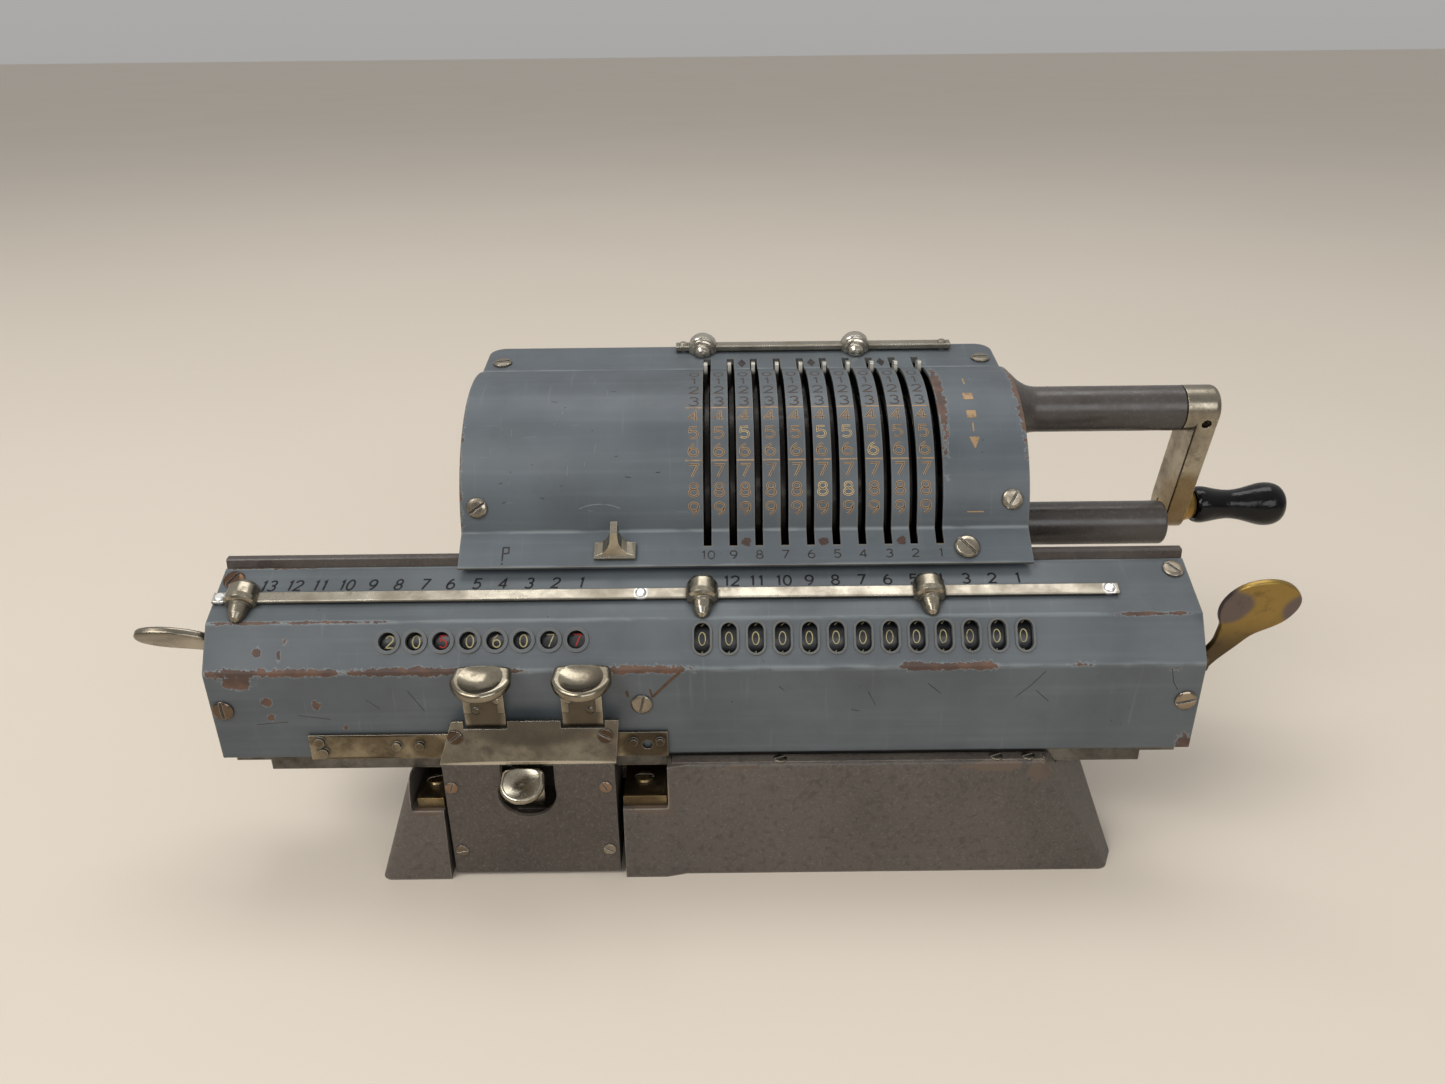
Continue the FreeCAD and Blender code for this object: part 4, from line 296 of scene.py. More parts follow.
def plating(name, bright, dull, stain, tarnish=0.35, rough=(0.18, 0.36), darkening=0.75, tints=(), rim="d9d3c6"):
    """Old nickel plate: warm silver, cloudy, with yellow-brown tarnish, fine scratches, and dark soiling with
    painted shade in the slots and corners; tints (centre, radii, colour, strength) colour some places."""
    g = Graph(name)
    cloud = g.ramp(g.noise(90, 5, rough=0.65), 0.3, 0.7)
    colour = g.mix(cloud, rgb(bright), rgb(dull))
    spots = g.ramp(g.noise(150, 5, rough=0.75, shift=3.3), 0.62 - tarnish * 0.3, 0.78, 0.0, 0.85)
    colour = g.mix(spots, colour, rgb(stain))
    for centre, radii, tint, strength in tints:
        colour = g.mix(g.math("MULTIPLY", g.ramp(g.patch(centre, radii), 0.0, 0.35), strength), colour,
                       rgb(tint))
    # dark dirt and painted shade in slots and corners, from ambient occlusion; darkening sets how much
    dirt_and_shade = g.math("MULTIPLY", g.crevice(0.9, 0.5, 0.96), darkening)
    colour = g.mix(dirt_and_shade, colour, rgb("120e0b"))
    colour = g.mix(g.ramp(g.edges(0.5), 0.05, 0.25, 0.0, 0.45), colour, rgb(rim))
    scratch = g.noise(1.0, 2, (60, 1500, 1500))
    roughness = g.math("ADD", g.ramp(cloud, 0.0, 1.0, rough[0], rough[1]), g.math("MULTIPLY", spots, 0.25))
    height = g.math("ADD", g.math("MULTIPLY", scratch, 0.06), g.math("MULTIPLY", spots, 0.06))
    metal = g.math("MULTIPLY", g.ramp(spots, 0.0, 1.0, 1.0, 0.55), g.ramp(dirt_and_shade, 0.0, 1.0, 1.0, 0.2))
    return g.finish(colour, roughness, metallic=metal, height=height, bump=0.2, round_edge=0.3)


def patina(name):
    """Nickel worn to yellow brass in patches, with purple-grey heat tints between them."""
    g = Graph(name)
    wide = g.noise(42, 4, rough=0.6, shift=1.9)
    colour = g.mix(g.ramp(wide, 0.4, 0.6), rgb("7a6541"), rgb("957a3e"))
    for centre, radii in PURPLE_PATCHES:
        score = g.math("ADD", g.patch(centre, radii), g.math("MULTIPLY", g.math("SUBTRACT", wide, 0.5), 0.9))
        colour = g.mix(g.ramp(score, 0.15, 0.45, 0.0, 0.9), colour, rgb("625859"))
    colour = g.mix(g.ramp(g.noise(220, 5, rough=0.7, shift=5.1), 0.5, 0.75, 0.0, 0.5), colour, rgb("3f3224"))
    colour = g.mix(g.ramp(g.edges(0.7), 0.04, 0.22, 0.0, 0.7), colour, rgb("b5b0a6"))
    low_end = g.ramp(g.split.outputs[2], 68.0 * MM, 84.0 * MM, 0.8, 0.0)
    colour = g.mix(low_end, colour, rgb("2f2620"))
    height = g.noise(1.0, 2, (60, 1500, 1500))
    return g.finish(colour, g.ramp(wide, 0.3, 0.7, 0.24, 0.38), metallic=0.85, height=height, bump=0.02,
                    round_edge=0.3)


def tip_steel(name):
    """Setting levers: painted shade, near black, within the cover, and bright where the tips stand out of the
    slots.
    """
    g = Graph(name)
    reach = 60.0
    shaded_inside = g.ramp(g.near_line(DRUM_C, reach), 1 - TIP_OUTER / reach, 1 - TIP_INNER / reach)
    colour = g.mix(shaded_inside, g.mix(g.noise(400, 3), rgb("cfccc3"), rgb("a19c90")), rgb("262422"))
    return g.finish(colour, g.ramp(g.noise(300, 3), 0.3, 0.7, 0.25, 0.45), metallic=0.8,
                    height=g.noise(600, 2), bump=0.05, round_edge=0.2)


def glossy_black(name, base, worn, rough, bump, shine=0.5):
    """Black lacquer, enamel or rubber, from shiny to dull by its roughness range."""
    g = Graph(name)
    cloud = g.noise(120, 4, rough=0.7)
    colour = g.mix(g.ramp(cloud, 0.45, 0.75), rgb(base), rgb(worn))
    roughness = g.ramp(g.noise(260, 4, shift=2.0), 0.3, 0.7, rough[0], rough[1])
    return g.finish(colour, roughness, height=g.noise(420, 3, shift=4.0), bump=bump, round_edge=0.3,
                    shine=shine)


def ink(name, fresh, worn, wear, rough=0.6, metallic=0.0):
    """Filled or engraved mark, partly worn away."""
    g = Graph(name)
    patch = g.ramp(g.noise(300, 4, rough=0.7), 0.6 - wear * 0.3, 0.75 - wear * 0.2)
    colour = g.mix(patch, rgb(fresh), rgb(worn))
    return g.finish(colour, rough, metallic=metallic, round_edge=0.05, shine=0.25)


# strips worn along folds: (point, reach, (start, stop, strength) along X)
RIDGE_WEAR = (RIDGE, 2.3, ((-152, -112, 0.8), (-112, -62, 0.95), (-38, -18, 0.95), (41, 69, 1.0),
                           (86, 96, 0.6)))
BEND_WEAR = (BEND, 1.2, ((-152, -100, 0.7), (103, 124, 0.75)))
TOP_WEAR = (CAR_TOP, 1.2, ((-152, -120, 0.5),))
# worn spots: (centre, radii, strength)
CARRIAGE_CHIPS = (
    ((-137.0, -59.6, 73.2), (2.4, 2.5, 2.6), 0.95),
    ((-129.6, -58.6, 76.0), (1.8, 2.5, 1.8), 0.95),
    ((-131.0, -60.2, 72.4), (1.4, 2.5, 3.2), 0.95),
    ((-142.6, -62.8, 65.6), (6.0, 3.0, 3.4), 0.95),
    ((-135.6, -62.8, 59.2), (2.4, 2.5, 2.6), 0.95),
    ((-122.3, -62.7, 57.6), (2.0, 2.5, 2.4), 0.95),
    ((-135.5, -62.6, 53.9), (1.8, 2.5, 2.0), 0.95),
    ((-115.0, -62.5, 50.0), (1.4, 2.5, 1.6), 0.9),
    ((124.5, -62.4, 42.0), (4.0, 3.0, 4.0), 0.8),
    ((118.0, -62.8, 66.5), (5.0, 2.0, 1.2), 0.7),
)
COVER_WEAR = (
    ((58.4, -5.0, 124.5), (2.6, 38.0, 28.0), 0.95),
    ((82.6, -8.0, 126.0), (3.0, 38.0, 34.0), 0.85),
    ((48.6, -10.0, 126.0), (1.0, 22.0, 20.0), 0.7),
    ((41.1, -14.0, 124.0), (0.8, 16.0, 16.0), 0.6),
    ((-84.2, -20.0, 112.0), (2.2, 40.0, 36.0), 0.85),
)
BASE_CHIPS = (
    ((70.0, -66.0, 36.6), (17.0, 3.0, 3.2), 1.0),
    ((84.5, -65.0, 35.0), (7.0, 5.0, 6.0), 1.0),
    ((-2.0, -66.0, 37.0), (10.0, 2.0, 1.6), 0.8),
    ((94.0, -50.0, 36.0), (4.0, 10.0, 4.0), 0.9),
    ((-98.0, -65.0, 35.0), (4.0, 4.0, 6.0), 0.9),
    ((-25.0, -66.5, 26.0), (3.5, 3.0, 12.0), 1.0),
    ((-30.0, -67.5, 23.6), (9.0, 3.0, 1.8), 1.0),
    ((-94.0, -67.5, 23.6), (7.0, 3.0, 1.8), 1.0),
)
# patches of another tone: (centre, radii, colour, strength)
# brass patina at the crank arm's lower end; the second patch is a painted shade on the lower part of the left
# clearing lever
ARM_TINT_AND_SHADE = (((144.0, 4.0, 84.0), (7.0, 22.0, 16.0), "776038", 0.7),
             ((-165.0, -60.0, 76.0), (14.0, 9.0, 5.0), "6e665a", 0.6))
STEM_TINTS = tuple(((x, -65.2, 56.5), (6.4, 1.6, 11.5), "4b443a", 0.85) for x in KEY_X)
# the second patch is a painted highlight along the plate's lower edge
PLATE_TINT_AND_HIGHLIGHT = (((-62.0, -67.2, 52.0), (21.0, 1.4, 7.0), "4e4a43", 0.7),
               ((-62.0, -67.8, 40.8), (30.0, 0.8, 0.9), "c9c2b3", 0.8))
RACK_TINTS = (((-30.0, -63.5, 44.0), (9.0, 3.0, 7.0), "3b3327", 0.85),
              ((-107.0, -63.5, 48.4), (24.0, 3.0, 1.3), "2e261c", 0.8),
              ((-92.0, -63.5, 44.0), (6.0, 3.0, 5.0), "4f4432", 0.7),
              ((-112.0, -63.5, 39.6), (16.0, 3.0, 1.2), "3f3526", 0.7))
RIVET_TINTS = tuple(((x, -48.0, 84.5), (2.2, 3.0, 3.0), "e6e4df", 1.0) for x in RIVET_X)
BOX_SCREW_TINTS = (((-83.2, -67.0, 49.4), (3.2, 3.0, 3.2), "47362a", 0.9),
                   ((-40.9, -67.0, 49.4), (3.2, 3.0, 3.2), "47362a", 0.9),
                   ((-85.9, -68.2, 32.5), (3.0, 2.5, 3.0), "82644e", 0.7),
                   ((-41.7, -68.2, 32.2), (3.0, 2.5, 3.0), "82644e", 0.7),
                   ((-85.3, -68.2, 9.7), (3.0, 2.5, 3.0), "6f5f50", 0.7),
                   ((-93.2, -57.0, 28.0), (4.0, 4.0, 4.0), "8d7446", 0.7),
                   ((-31.4, -57.0, 28.0), (4.0, 4.0, 4.0), "8d7446", 0.7),
                   ((67.5, -22.0, 104.0), (6.0, 12.0, 12.0), "6e5b4b", 0.35))
RUSTY_SCREWS = (((-148.5, -45.0, 86.0), (5.0, 30.0, 12.0), "5a3a26", 0.85),
                ((-148.6, -62.5, 55.0), (5.0, 5.0, 8.0), "4f3a2c", 0.8),
                ((122.6, -40.0, 87.0), (5.0, 6.0, 6.0), "8f8678", 0.5),
                ((122.6, -62.5, 55.0), (5.0, 5.0, 8.0), "85705a", 0.5)) + BOX_SCREW_TINTS
# heat tints on the right clearing lever: (centre, radii)
PURPLE_PATCHES = (((130.0, -62.0, 86.5), (7.0, 7.0, 8.5)),
                  ((148.5, -61.5, 86.0), (6.0, 7.0, 8.0)))

MATERIALS = {
    # the (point, reach, strength) fold tuples of cover_paint and carriage_paint are made pale: paint rubbed
    # thin, with a painted highlight
    "cover_paint": enamel("cover_paint", "444a4f", "50585d", (), COVER_WEAR,
                          ((CREASE, 1.6, 0.55), (FLANGE_HIGH, 1.1, 0.6), (FLANGE_LOW, 1.2, 0.5))),
    "carriage_paint": enamel("carriage_paint", "454b4f", "545a5e", (RIDGE_WEAR, BEND_WEAR, TOP_WEAR),
                             CARRIAGE_CHIPS, ((RIDGE, 1.6, 0.5), (BEND, 1.2, 0.45), (CAR_TOP, 1.2, 0.5)),
                             0.45),
    "base_paint": crinkle("base_paint", "46403b", "554e47", 1.0, BASE_CHIPS),
    "box_paint": crinkle("box_paint", "3f3833", "4b443d", 0.6),
    "casting_paint": casting("casting_paint", "38332f", "46413d"),
    "end_paint": casting("end_paint", "3a3330", "4a433e"),
    "nickel": plating("nickel", "aaa290", "80786a", "5c4f3a", 0.3, (0.16, 0.32), tints=ARM_TINT_AND_SHADE),
    "key_nickel": plating("key_nickel", "9c9482", "766d5e", "4e4230", 0.3, (0.14, 0.28), tints=STEM_TINTS),
    "plate_nickel": plating("plate_nickel", "858074", "676157", "443c33", 0.45, (0.2, 0.36), 0.9,
                            PLATE_TINT_AND_HIGHLIGHT),
    "worn_nickel": plating("worn_nickel", "958a74", "665b49", "3b2f21", 0.6, (0.22, 0.42), 0.9, RACK_TINTS),
    "release_nickel": plating("release_nickel", "b8b09e", "918978", "3d3327", 0.35, (0.14, 0.3), 1.0),
    "tip_steel": tip_steel("tip_steel"),
    "dark_steel": plating("dark_steel", "3a3835", "2a2826", "1c1814", 0.4, (0.35, 0.55)),
    "bright_nickel": plating("bright_nickel", "d2cbbd", "a8a092", "7c6d55", 0.1, (0.10, 0.24)),
    "rail_nickel": plating("rail_nickel", "aaa394", "877f71", "6f6450", 0.2, (0.25, 0.4), tints=RIVET_TINTS),
    "steel": plating("steel", "8d8a84", "6b6863", "4d443b", 0.35, (0.28, 0.45)),
    "dull_steel": plating("dull_steel", "75726c", "58554f", "3f372f", 0.55, (0.35, 0.55)),
    "dark_bronze": plating("dark_bronze", "8a7a5c", "5c4e3a", "32281c", 0.5, (0.3, 0.5), 0.4,
                           rim="a5844c"),
    "brass": plating("brass", "b08d4a", "8c7040", "5d4a2d", 0.3, (0.22, 0.4)),
    "screw": plating("screw", "a89f8e", "7a7163", "4f3b2c", 0.5, (0.18, 0.36), 1.0, RUSTY_SCREWS),
    "lever_patina": patina("lever_patina"),
    "wheel_black": glossy_black("wheel_black", "121315", "232427", (0.28, 0.42), 0.1),
    "grip_black": glossy_black("grip_black", "030303", "0a0909", (0.1, 0.24), 0.22, 0.3),
    "rubber": glossy_black("rubber", "1d1c1b", "2b2927", (0.6, 0.8), 0.3),
}
# filled and rubbed marks: fresh colour, worn colour, wear, then roughness and metallic where they differ
INKS = {
    "copper_mark": ("9c8161", "786249", 0.35, 0.42, 0.2),
    "pale_gilt_mark": ("bba47c", "8f7857", 0.3, 0.36, 0.3),
    "faint_mark": ("5f4f44", "494a49", 0.5),
    "groove_mark": ("2f3031", "43464a", 0.45),
    "dark_mark": ("2b2624", "403b38", 0.4),
    "black_mark": ("141313", "2a2624", 0.25),
    "pale_mark": ("6f777b", "596064", 0.4),
    "cream_mark": ("bdb182", "8a8163", 0.35),
    "red_mark": ("b8342f", "8a2b27", 0.3),
    "primer_mark": ("54402f", "453227", 0.5, 0.6),
    "rust_mark": ("46342d", "382c26", 0.4, 0.6),
}
MATERIALS.update({name: ink(name, *recipe) for name, recipe in INKS.items()})

LEVERS = ["setting_lever_%02d" % (i + 1) for i in range(SLOTS)]
FINISHES = {
    "cover_paint": ["drum_cover", "rear_cover"],
    "carriage_paint": ["carriage_cover"],
    "base_paint": ["base_casting", "front_guide_rail"],
    "box_paint": ["box_housing", "box_front_plate"],
    "casting_paint": ["right_cheek", "left_side_frame", "right_side_frame"],
    "end_paint": ["carriage_end_left", "carriage_end_right", "carriage_top_bar"],
    "nickel": ["clear_lever_left", "clearing_knob", "crank_arm", "pointer_left", "pointer_middle",
               "pointer_right"],
    "key_nickel": ["left_shift_key", "right_shift_key"],
    "plate_nickel": ["box_top_plate"],
    "worn_nickel": ["rack_strip"],
    "release_nickel": ["release_key"],
    "bright_nickel": ["top_pointer_left", "top_pointer_right"],
    "rail_nickel": ["pointer_rail", "top_pointer_rail"],
    "lever_patina": ["clear_lever_right"],
    "screw": ["frame_screws", "carriage_screws"],
    "tip_steel": LEVERS,
    "dark_steel": ["pinwheels", "setting_pins"],
    "steel": ["drum_shaft", "crank_shaft", "drum_gear", "crank_gear", "idler_gear", "register_shafts",
              "cross_bar"],
    "dull_steel": ["bottom_plate", "carriage_bed"],
    "dark_bronze": ["escapement_bracket"],
    "brass": ["bearing_bushes", "intermediate_gears", "handle_spindle"],
    "wheel_black": ["result_wheels", "counter_wheels"],
    "grip_black": ["handle_grip"],
    "rubber": ["rubber_feet"],
}


def finish_cad_nodes():
    """Gives every CAD node its one material."""
    for material, names in FINISHES.items():
        for name in names:
            mesh = NODES[name].data
            mesh.materials.clear()
            mesh.materials.append(MATERIALS[material])


# ---------------------------------------------------------------- stroke numerals
NUMERAL_WIDE = 0.54         # width of the round numerals below; all are one high
ADVANCE = 0.62              # from one numeral's middle to the next, on the same scale
TOP_HALF = 0.36             # half the flat top of a stroke, over its width
SHOULDER = 0.4              # height of a stroke's shoulders, over its rise
MITRE_MOST, MITRE_LEAST_COS = 1.6, 0.35     # keep the sharp corners of a stroke short


def arc(cx, cy, rx, ry, start, stop, steps=14):
    """Points on part of an ellipse, from the start angle to the stop angle in degrees."""
    angles = [math.radians(start + (stop - start) * i / steps) for i in range(steps + 1)]
    return [(cx + rx * math.cos(a), cy + ry * math.sin(a)) for a in angles]


def ring(cx, cy, rx, ry, steps=24):
    """Points right round an ellipse, without repeating the first one."""
    return arc(cx, cy, rx, ry, 0, 360 - 360 / steps, steps - 1)


# Each numeral is a list of (points, closed) strokes in a box one unit high, centred on its middle.
SIX_TAIL = arc(0.26, -0.16, 0.53, 0.68, 180, 108, 8)
NUMERALS = {
    "0": [(ring(0, 0, 0.27, 0.5), True)],
    "1": [([(-0.13, 0.32), (0.03, 0.5), (0.03, -0.5)], False)],
    "2": [(arc(0, 0.22, 0.27, 0.28, 165, -35, 12) + [(-0.27, -0.48), (0.29, -0.48)], False)],
    "3": [(arc(0, 0.25, 0.24, 0.25, 150, -80, 10) + arc(-0.01, -0.24, 0.28, 0.26, 80, -150, 12), False)],
    "4": [([(0.12, -0.5), (0.12, 0.5), (-0.3, -0.22), (0.3, -0.22)], False)],
    "5": [([(0.24, 0.49), (-0.19, 0.49), (-0.23, 0.05)] + arc(-0.02, -0.18, 0.28, 0.32, 128, -145, 14),
           False)],
    "6": [(ring(0, -0.2, 0.27, 0.3), True), (SIX_TAIL, False)],
    "7": [([(-0.27, 0.49), (0.27, 0.49), (-0.1, -0.5)], False)],
    "8": [(ring(0, 0.26, 0.22, 0.24), True), (ring(0, -0.24, 0.27, 0.26), True)],
    "9": [(ring(0, 0.2, 0.27, 0.3), True), ([(-x, -y) for x, y in SIX_TAIL], False)],
}


def on_plane(x, origin, up, out):
    """Places (u, v, height) on a flat facet: u along X, v up the slope."""
    def place(u, v, h):
        return Vector((x + u, origin[0] + up[0] * v + out[0] * h, origin[1] + up[1] * v + out[1] * h)) * MM
    return place


def on_arc(x, centre, radius, angle):
    """Places (u, v, height) on a cylinder about an X axis: angle is up from the front horizontal."""
    def place(u, v, h):
        a = math.radians(angle) + v / radius
        r = radius + h
        return Vector((x + u, centre[0] - r * math.cos(a), centre[1] + r * math.sin(a))) * MM
    return place


def sides(points, closed, half):
    """Left and right offset of a polyline with mitred corners."""
    count = len(points)
    left, right = [], []
    for i, p in enumerate(points):
        before = points[i - 1] if i or closed else None
        after = points[(i + 1) % count] if i < count - 1 or closed else None
        ways = []
        for a, b in ((before, p), (p, after)):
            if a is not None and b is not None:
                size = math.hypot(b[0] - a[0], b[1] - a[1])
                ways.append(((b[0] - a[0]) / size, (b[1] - a[1]) / size))
        tx, ty = sum(w[0] for w in ways), sum(w[1] for w in ways)
        size = math.hypot(tx, ty) or 1.0
        nx, ny = -ty / size, tx / size
        lean = abs(nx * -ways[0][1] + ny * ways[0][0])
        stretch = min(MITRE_MOST, 1.0 / max(MITRE_LEAST_COS, lean))
        left.append((p[0] + nx * half * stretch, p[1] + ny * half * stretch))
        right.append((p[0] - nx * half * stretch, p[1] - ny * half * stretch))
    return left, right


def dense(points, closed, step=0.6):
    """The same polyline with points at most step apart, so that it follows a curved face."""
    made = []
    count = len(points)
    for i in range(count if closed else count - 1):
        a, b = points[i], points[(i + 1) % count]
        parts = max(1, math.ceil(math.hypot(b[0] - a[0], b[1] - a[1]) / step))
        made += [(a[0] + (b[0] - a[0]) * k / parts, a[1] + (b[1] - a[1]) * k / parts) for k in range(parts)]
    return made if closed else made + [points[-1]]


def stroke(mesh, points, closed, place, width, rise=0.04, sink=0.12):
    """A low flat-topped ribbon along a polyline of millimetre points, as a closed shell."""
    points = dense(points, closed)
    outer = sides(points, closed, width / 2)
    inner = sides(points, closed, width * TOP_HALF)
    rows = []
    for i in range(len(points)):
        corners = ((outer[0][i], -sink), (outer[0][i], rise * SHOULDER), (inner[0][i], rise),
                   (inner[1][i], rise), (outer[1][i], rise * SHOULDER), (outer[1][i], -sink))
        rows.append([mesh.verts.new(place(p[0], p[1], h)) for p, h in corners])
    count = len(rows)
    for i in range(count if closed else count - 1):
        here, there = rows[i], rows[(i + 1) % count]
        for k in range(6):
            mesh.faces.new((here[k], here[(k + 1) % 6], there[(k + 1) % 6], there[k]))
    if not closed:
        mesh.faces.new(rows[0])
        mesh.faces.new(rows[-1])


def numeral(mesh, text, place, height, width, weight, slant=0.0, rise=0.04):
    """Writes a number with its middle at place's origin; width is one numeral's width over height."""
    scale = width / NUMERAL_WIDE
    step = height * scale * ADVANCE
    start = -step * (len(text) - 1) / 2
    for i, sign in enumerate(text):
        middle = start + step * i
        for points, closed in NUMERALS[sign]:
            sized = [(middle + (x * scale + y * slant) * height, y * height) for x, y in points]
            stroke(mesh, sized, closed, place, weight, rise)


def blob(mesh, place, radii, seed, points=14, rise=0.03, sink=0.1):
    """A ragged patch: a closed flat shell with an uneven rim."""
    chance = random.Random(seed)
    rim = []
    for i in range(points):
        a = 2 * math.pi * i / points
        r = chance.uniform(0.65, 1.15)
        rim.append((math.cos(a) * radii[0] * r, math.sin(a) * radii[1] * r))
    top = [mesh.verts.new(place(u, v, rise)) for u, v in rim]
    low = [mesh.verts.new(place(u, v, -sink)) for u, v in rim]
    mesh.faces.new(top)
    mesh.faces.new(list(reversed(low)))
    for i in range(points):
        j = (i + 1) % points
        mesh.faces.new((top[i], low[i], low[j], top[j]))


def add_piece(name, mesh, material, body):
    """Turns a bmesh into a named piece that rides on a CAD body."""
    bmesh.ops.recalc_face_normals(mesh, faces=mesh.faces)
    data = bpy.data.meshes.new(name)
    mesh.to_mesh(data)
    mesh.free()
    data.materials.append(MATERIALS[material])
    made = bpy.data.objects.new(name, data)
    bpy.context.scene.collection.objects.link(made)
    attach(made, body)


# ---------------------------------------------------------------- marks on the drum cover
NUMERAL_ANGLES = (90.0, 82.0, 74.0, 66.0, 57.5, 49.0, 41.0, 32.0, 24.0, 16.0)   # for 0 to 9
COLUMN_OFFSET = -3.9            # numeral column, from its slot
FAINT_BELOW = 4                 # numerals 0 to 3 are worn almost away
BRIGHT_NUMERALS = {(5, 2), (5, 5), (5, 6), (6, 7), (8, 5), (8, 6)}      # (numeral, column)
LINE_ANGLES = (62.0, 36.4)      # dashes between the slots
# bars of the broken downward arrow, from the top: (angle, width along X, half length)
ARROW_BARS = ((79.0, 0.5, 1.9), (67.5, 3.0, 1.5), (57.0, 2.8, 1.4), (50.5, 0.45, 1.6))
ARROW_TIP_ANGLE, MINUS_ANGLE = 43.0, 13.6
INDEX_X = -71.0                 # flag-shaped index mark on the flange


def lifted(place, v0):
    """The same placing, moved v0 up the slope."""
    return lambda u, v, h: place(u, v + v0, h)


def drum_numerals():
    """Engraved rows 0 to 9 beside each slot: a coppery rim round a grey groove, worn faint at the top."""
    meshes = {name: bmesh.new() for name in ("copper", "gilt", "faint", "groove")}
    for column in range(SLOTS):
        x = SLOT_X1 + PITCH * column + COLUMN_OFFSET
        for value, angle in enumerate(NUMERAL_ANGLES):
            if value < FAINT_BELOW:
                kind = "faint"
            elif (value, column) in BRIGHT_NUMERALS:
                kind = "gilt"
            else:
                kind = "copper"
            place = on_arc(x, COVER_C, COVER_R, angle)
            weight = 0.55 if value < FAINT_BELOW else 0.64
            numeral(meshes[kind], str(value), place, 3.7, 0.72, weight)
            numeral(meshes["groove"], str(value), place, 3.7, 0.72, 0.26, rise=0.06)
    for angle in LINE_ANGLES:
        for column in range(SLOTS):
            place = on_arc(SLOT_X1 + PITCH * column, COVER_C, COVER_R, angle)
            stroke(meshes["copper"], [(-6.3, 0.0), (-1.25, 0.0)], False, place, 0.42)
    add_piece("drum_numerals_copper", meshes["copper"], "copper_mark", "frame")
    add_piece("drum_numerals_gilt", meshes["gilt"], "pale_gilt_mark", "frame")
    add_piece("drum_numerals_faint", meshes["faint"], "faint_mark", "frame")
    add_piece("drum_numerals_groove", meshes["groove"], "groove_mark", "frame")


def flange_numerals():
    """Column numbers 10 to 1 under the slots."""
    mesh = bmesh.new()
    for i in range(SLOTS):
        place = on_plane(SLOT_X1 + PITCH * i, FLANGE_LOW, UP_FLANGE, OUT_FLANGE)
        numeral(mesh, str(SLOTS - i), lifted(place, 3.5), 2.5, 0.74, 0.38)
    add_piece("flange_numerals", mesh, "dark_mark", "frame")


def direction_marks():
    """Broken downward arrow and a minus sign on the strip right of the slots."""
    mesh = bmesh.new()
    for angle, width, half in ARROW_BARS:
        bar = on_arc(ARROW_X, COVER_C, COVER_R, angle)
        stroke(mesh, [(0.0, half), (0.0, -half)], False, bar, width)
    tip = on_arc(ARROW_X, COVER_C, COVER_R, ARROW_TIP_ANGLE)
    for k in range(5):
        v = 1.5 - 0.7 * k
        stroke(mesh, [(-1.4 + 0.28 * k, v), (1.4 - 0.28 * k, v)], False, tip, 0.72)
    minus = on_arc(MINUS_X, COVER_C, COVER_R, MINUS_ANGLE)
    stroke(mesh, [(-2.4, 0.0), (2.4, 0.0)], False, minus, 0.36)
    add_piece("direction_marks", mesh, "copper_mark", "frame")


def cover_marks():
    """Flag-shaped index mark and rust dots on the flange, diamonds between the slots on the top plate."""
    dark, rust = bmesh.new(), bmesh.new()
    flange = on_plane(INDEX_X, FLANGE_LOW, UP_FLANGE, OUT_FLANGE)
    stroke(dark, [(0.0, 2.2), (0.0, 6.6), (1.7, 6.6), (1.7, 4.8), (0.3, 4.6)], False, flange, 0.45)
    stroke(dark, [(0.0, 1.0), (0.0, 1.6)], False, flange, 0.6)
    for k in range(3):
        x = SLOT_X1 + PITCH * (3 * k + 1.5)
        plate = on_plane(x, CREASE, UP_PLATE, OUT_PLATE)
        blob(dark, lifted(plate, 4.4), (1.35, 2.9), seed=5, points=4)
        dot = on_plane(x, FLANGE_LOW, UP_FLANGE, OUT_FLANGE)
        blob(rust, lifted(dot, 7.6), (1.5, 1.6), seed=11 + k, points=16)
    add_piece("cover_index_marks", dark, "dark_mark", "frame")
    add_piece("cover_rust_dots", rust, "rust_mark", "frame")


def cover_scratches():
    """Fine pale scratches and dark nicks left by use on the cover's plain side."""
    pale, dark = bmesh.new(), bmesh.new()
    chance = random.Random(7)
    for k in range(26):
        x = chance.uniform(-80.0, -19.0)
        place = on_arc(x, COVER_C, COVER_R, chance.uniform(12.0, 74.0))
        length, lean = chance.uniform(0.8, 3.4), chance.uniform(-1.2, 1.2)
        if k % 3 == 0:
            stroke(dark, [(0.0, 0.0), (length * 0.5, lean * 0.3)], False, place, 0.22, 0.02)
        elif k % 3 == 1:
            stroke(pale, [(0.0, 0.0), (lean * 0.5, length)], False, place, 0.16, 0.02)
        else:
            stroke(pale, [(0.0, 0.0), (length * 1.6, lean * 0.3)], False, place, 0.14, 0.02)
    # a bow-shaped scrape low on the left
    bow = on_arc(-43.0, COVER_C, COVER_R, 17.0)
    stroke(pale, arc(0.0, -2.4, 7.5, 3.4, 38, 142, 12), False, bow, 0.3, 0.02)
    add_piece("cover_pale_scratches", pale, "pale_mark", "frame")
    add_piece("cover_dark_nicks", dark, "dark_mark", "frame")


# ---------------------------------------------------------------- marks on the carriage and its wheels
LEFT_ROW_X1, RIGHT_ROW_X1 = -137.9, -12.6       # first numeral of each row on the top slope
ROW_UP = 13.3                                   # the rows' middle, up the slope from the bend
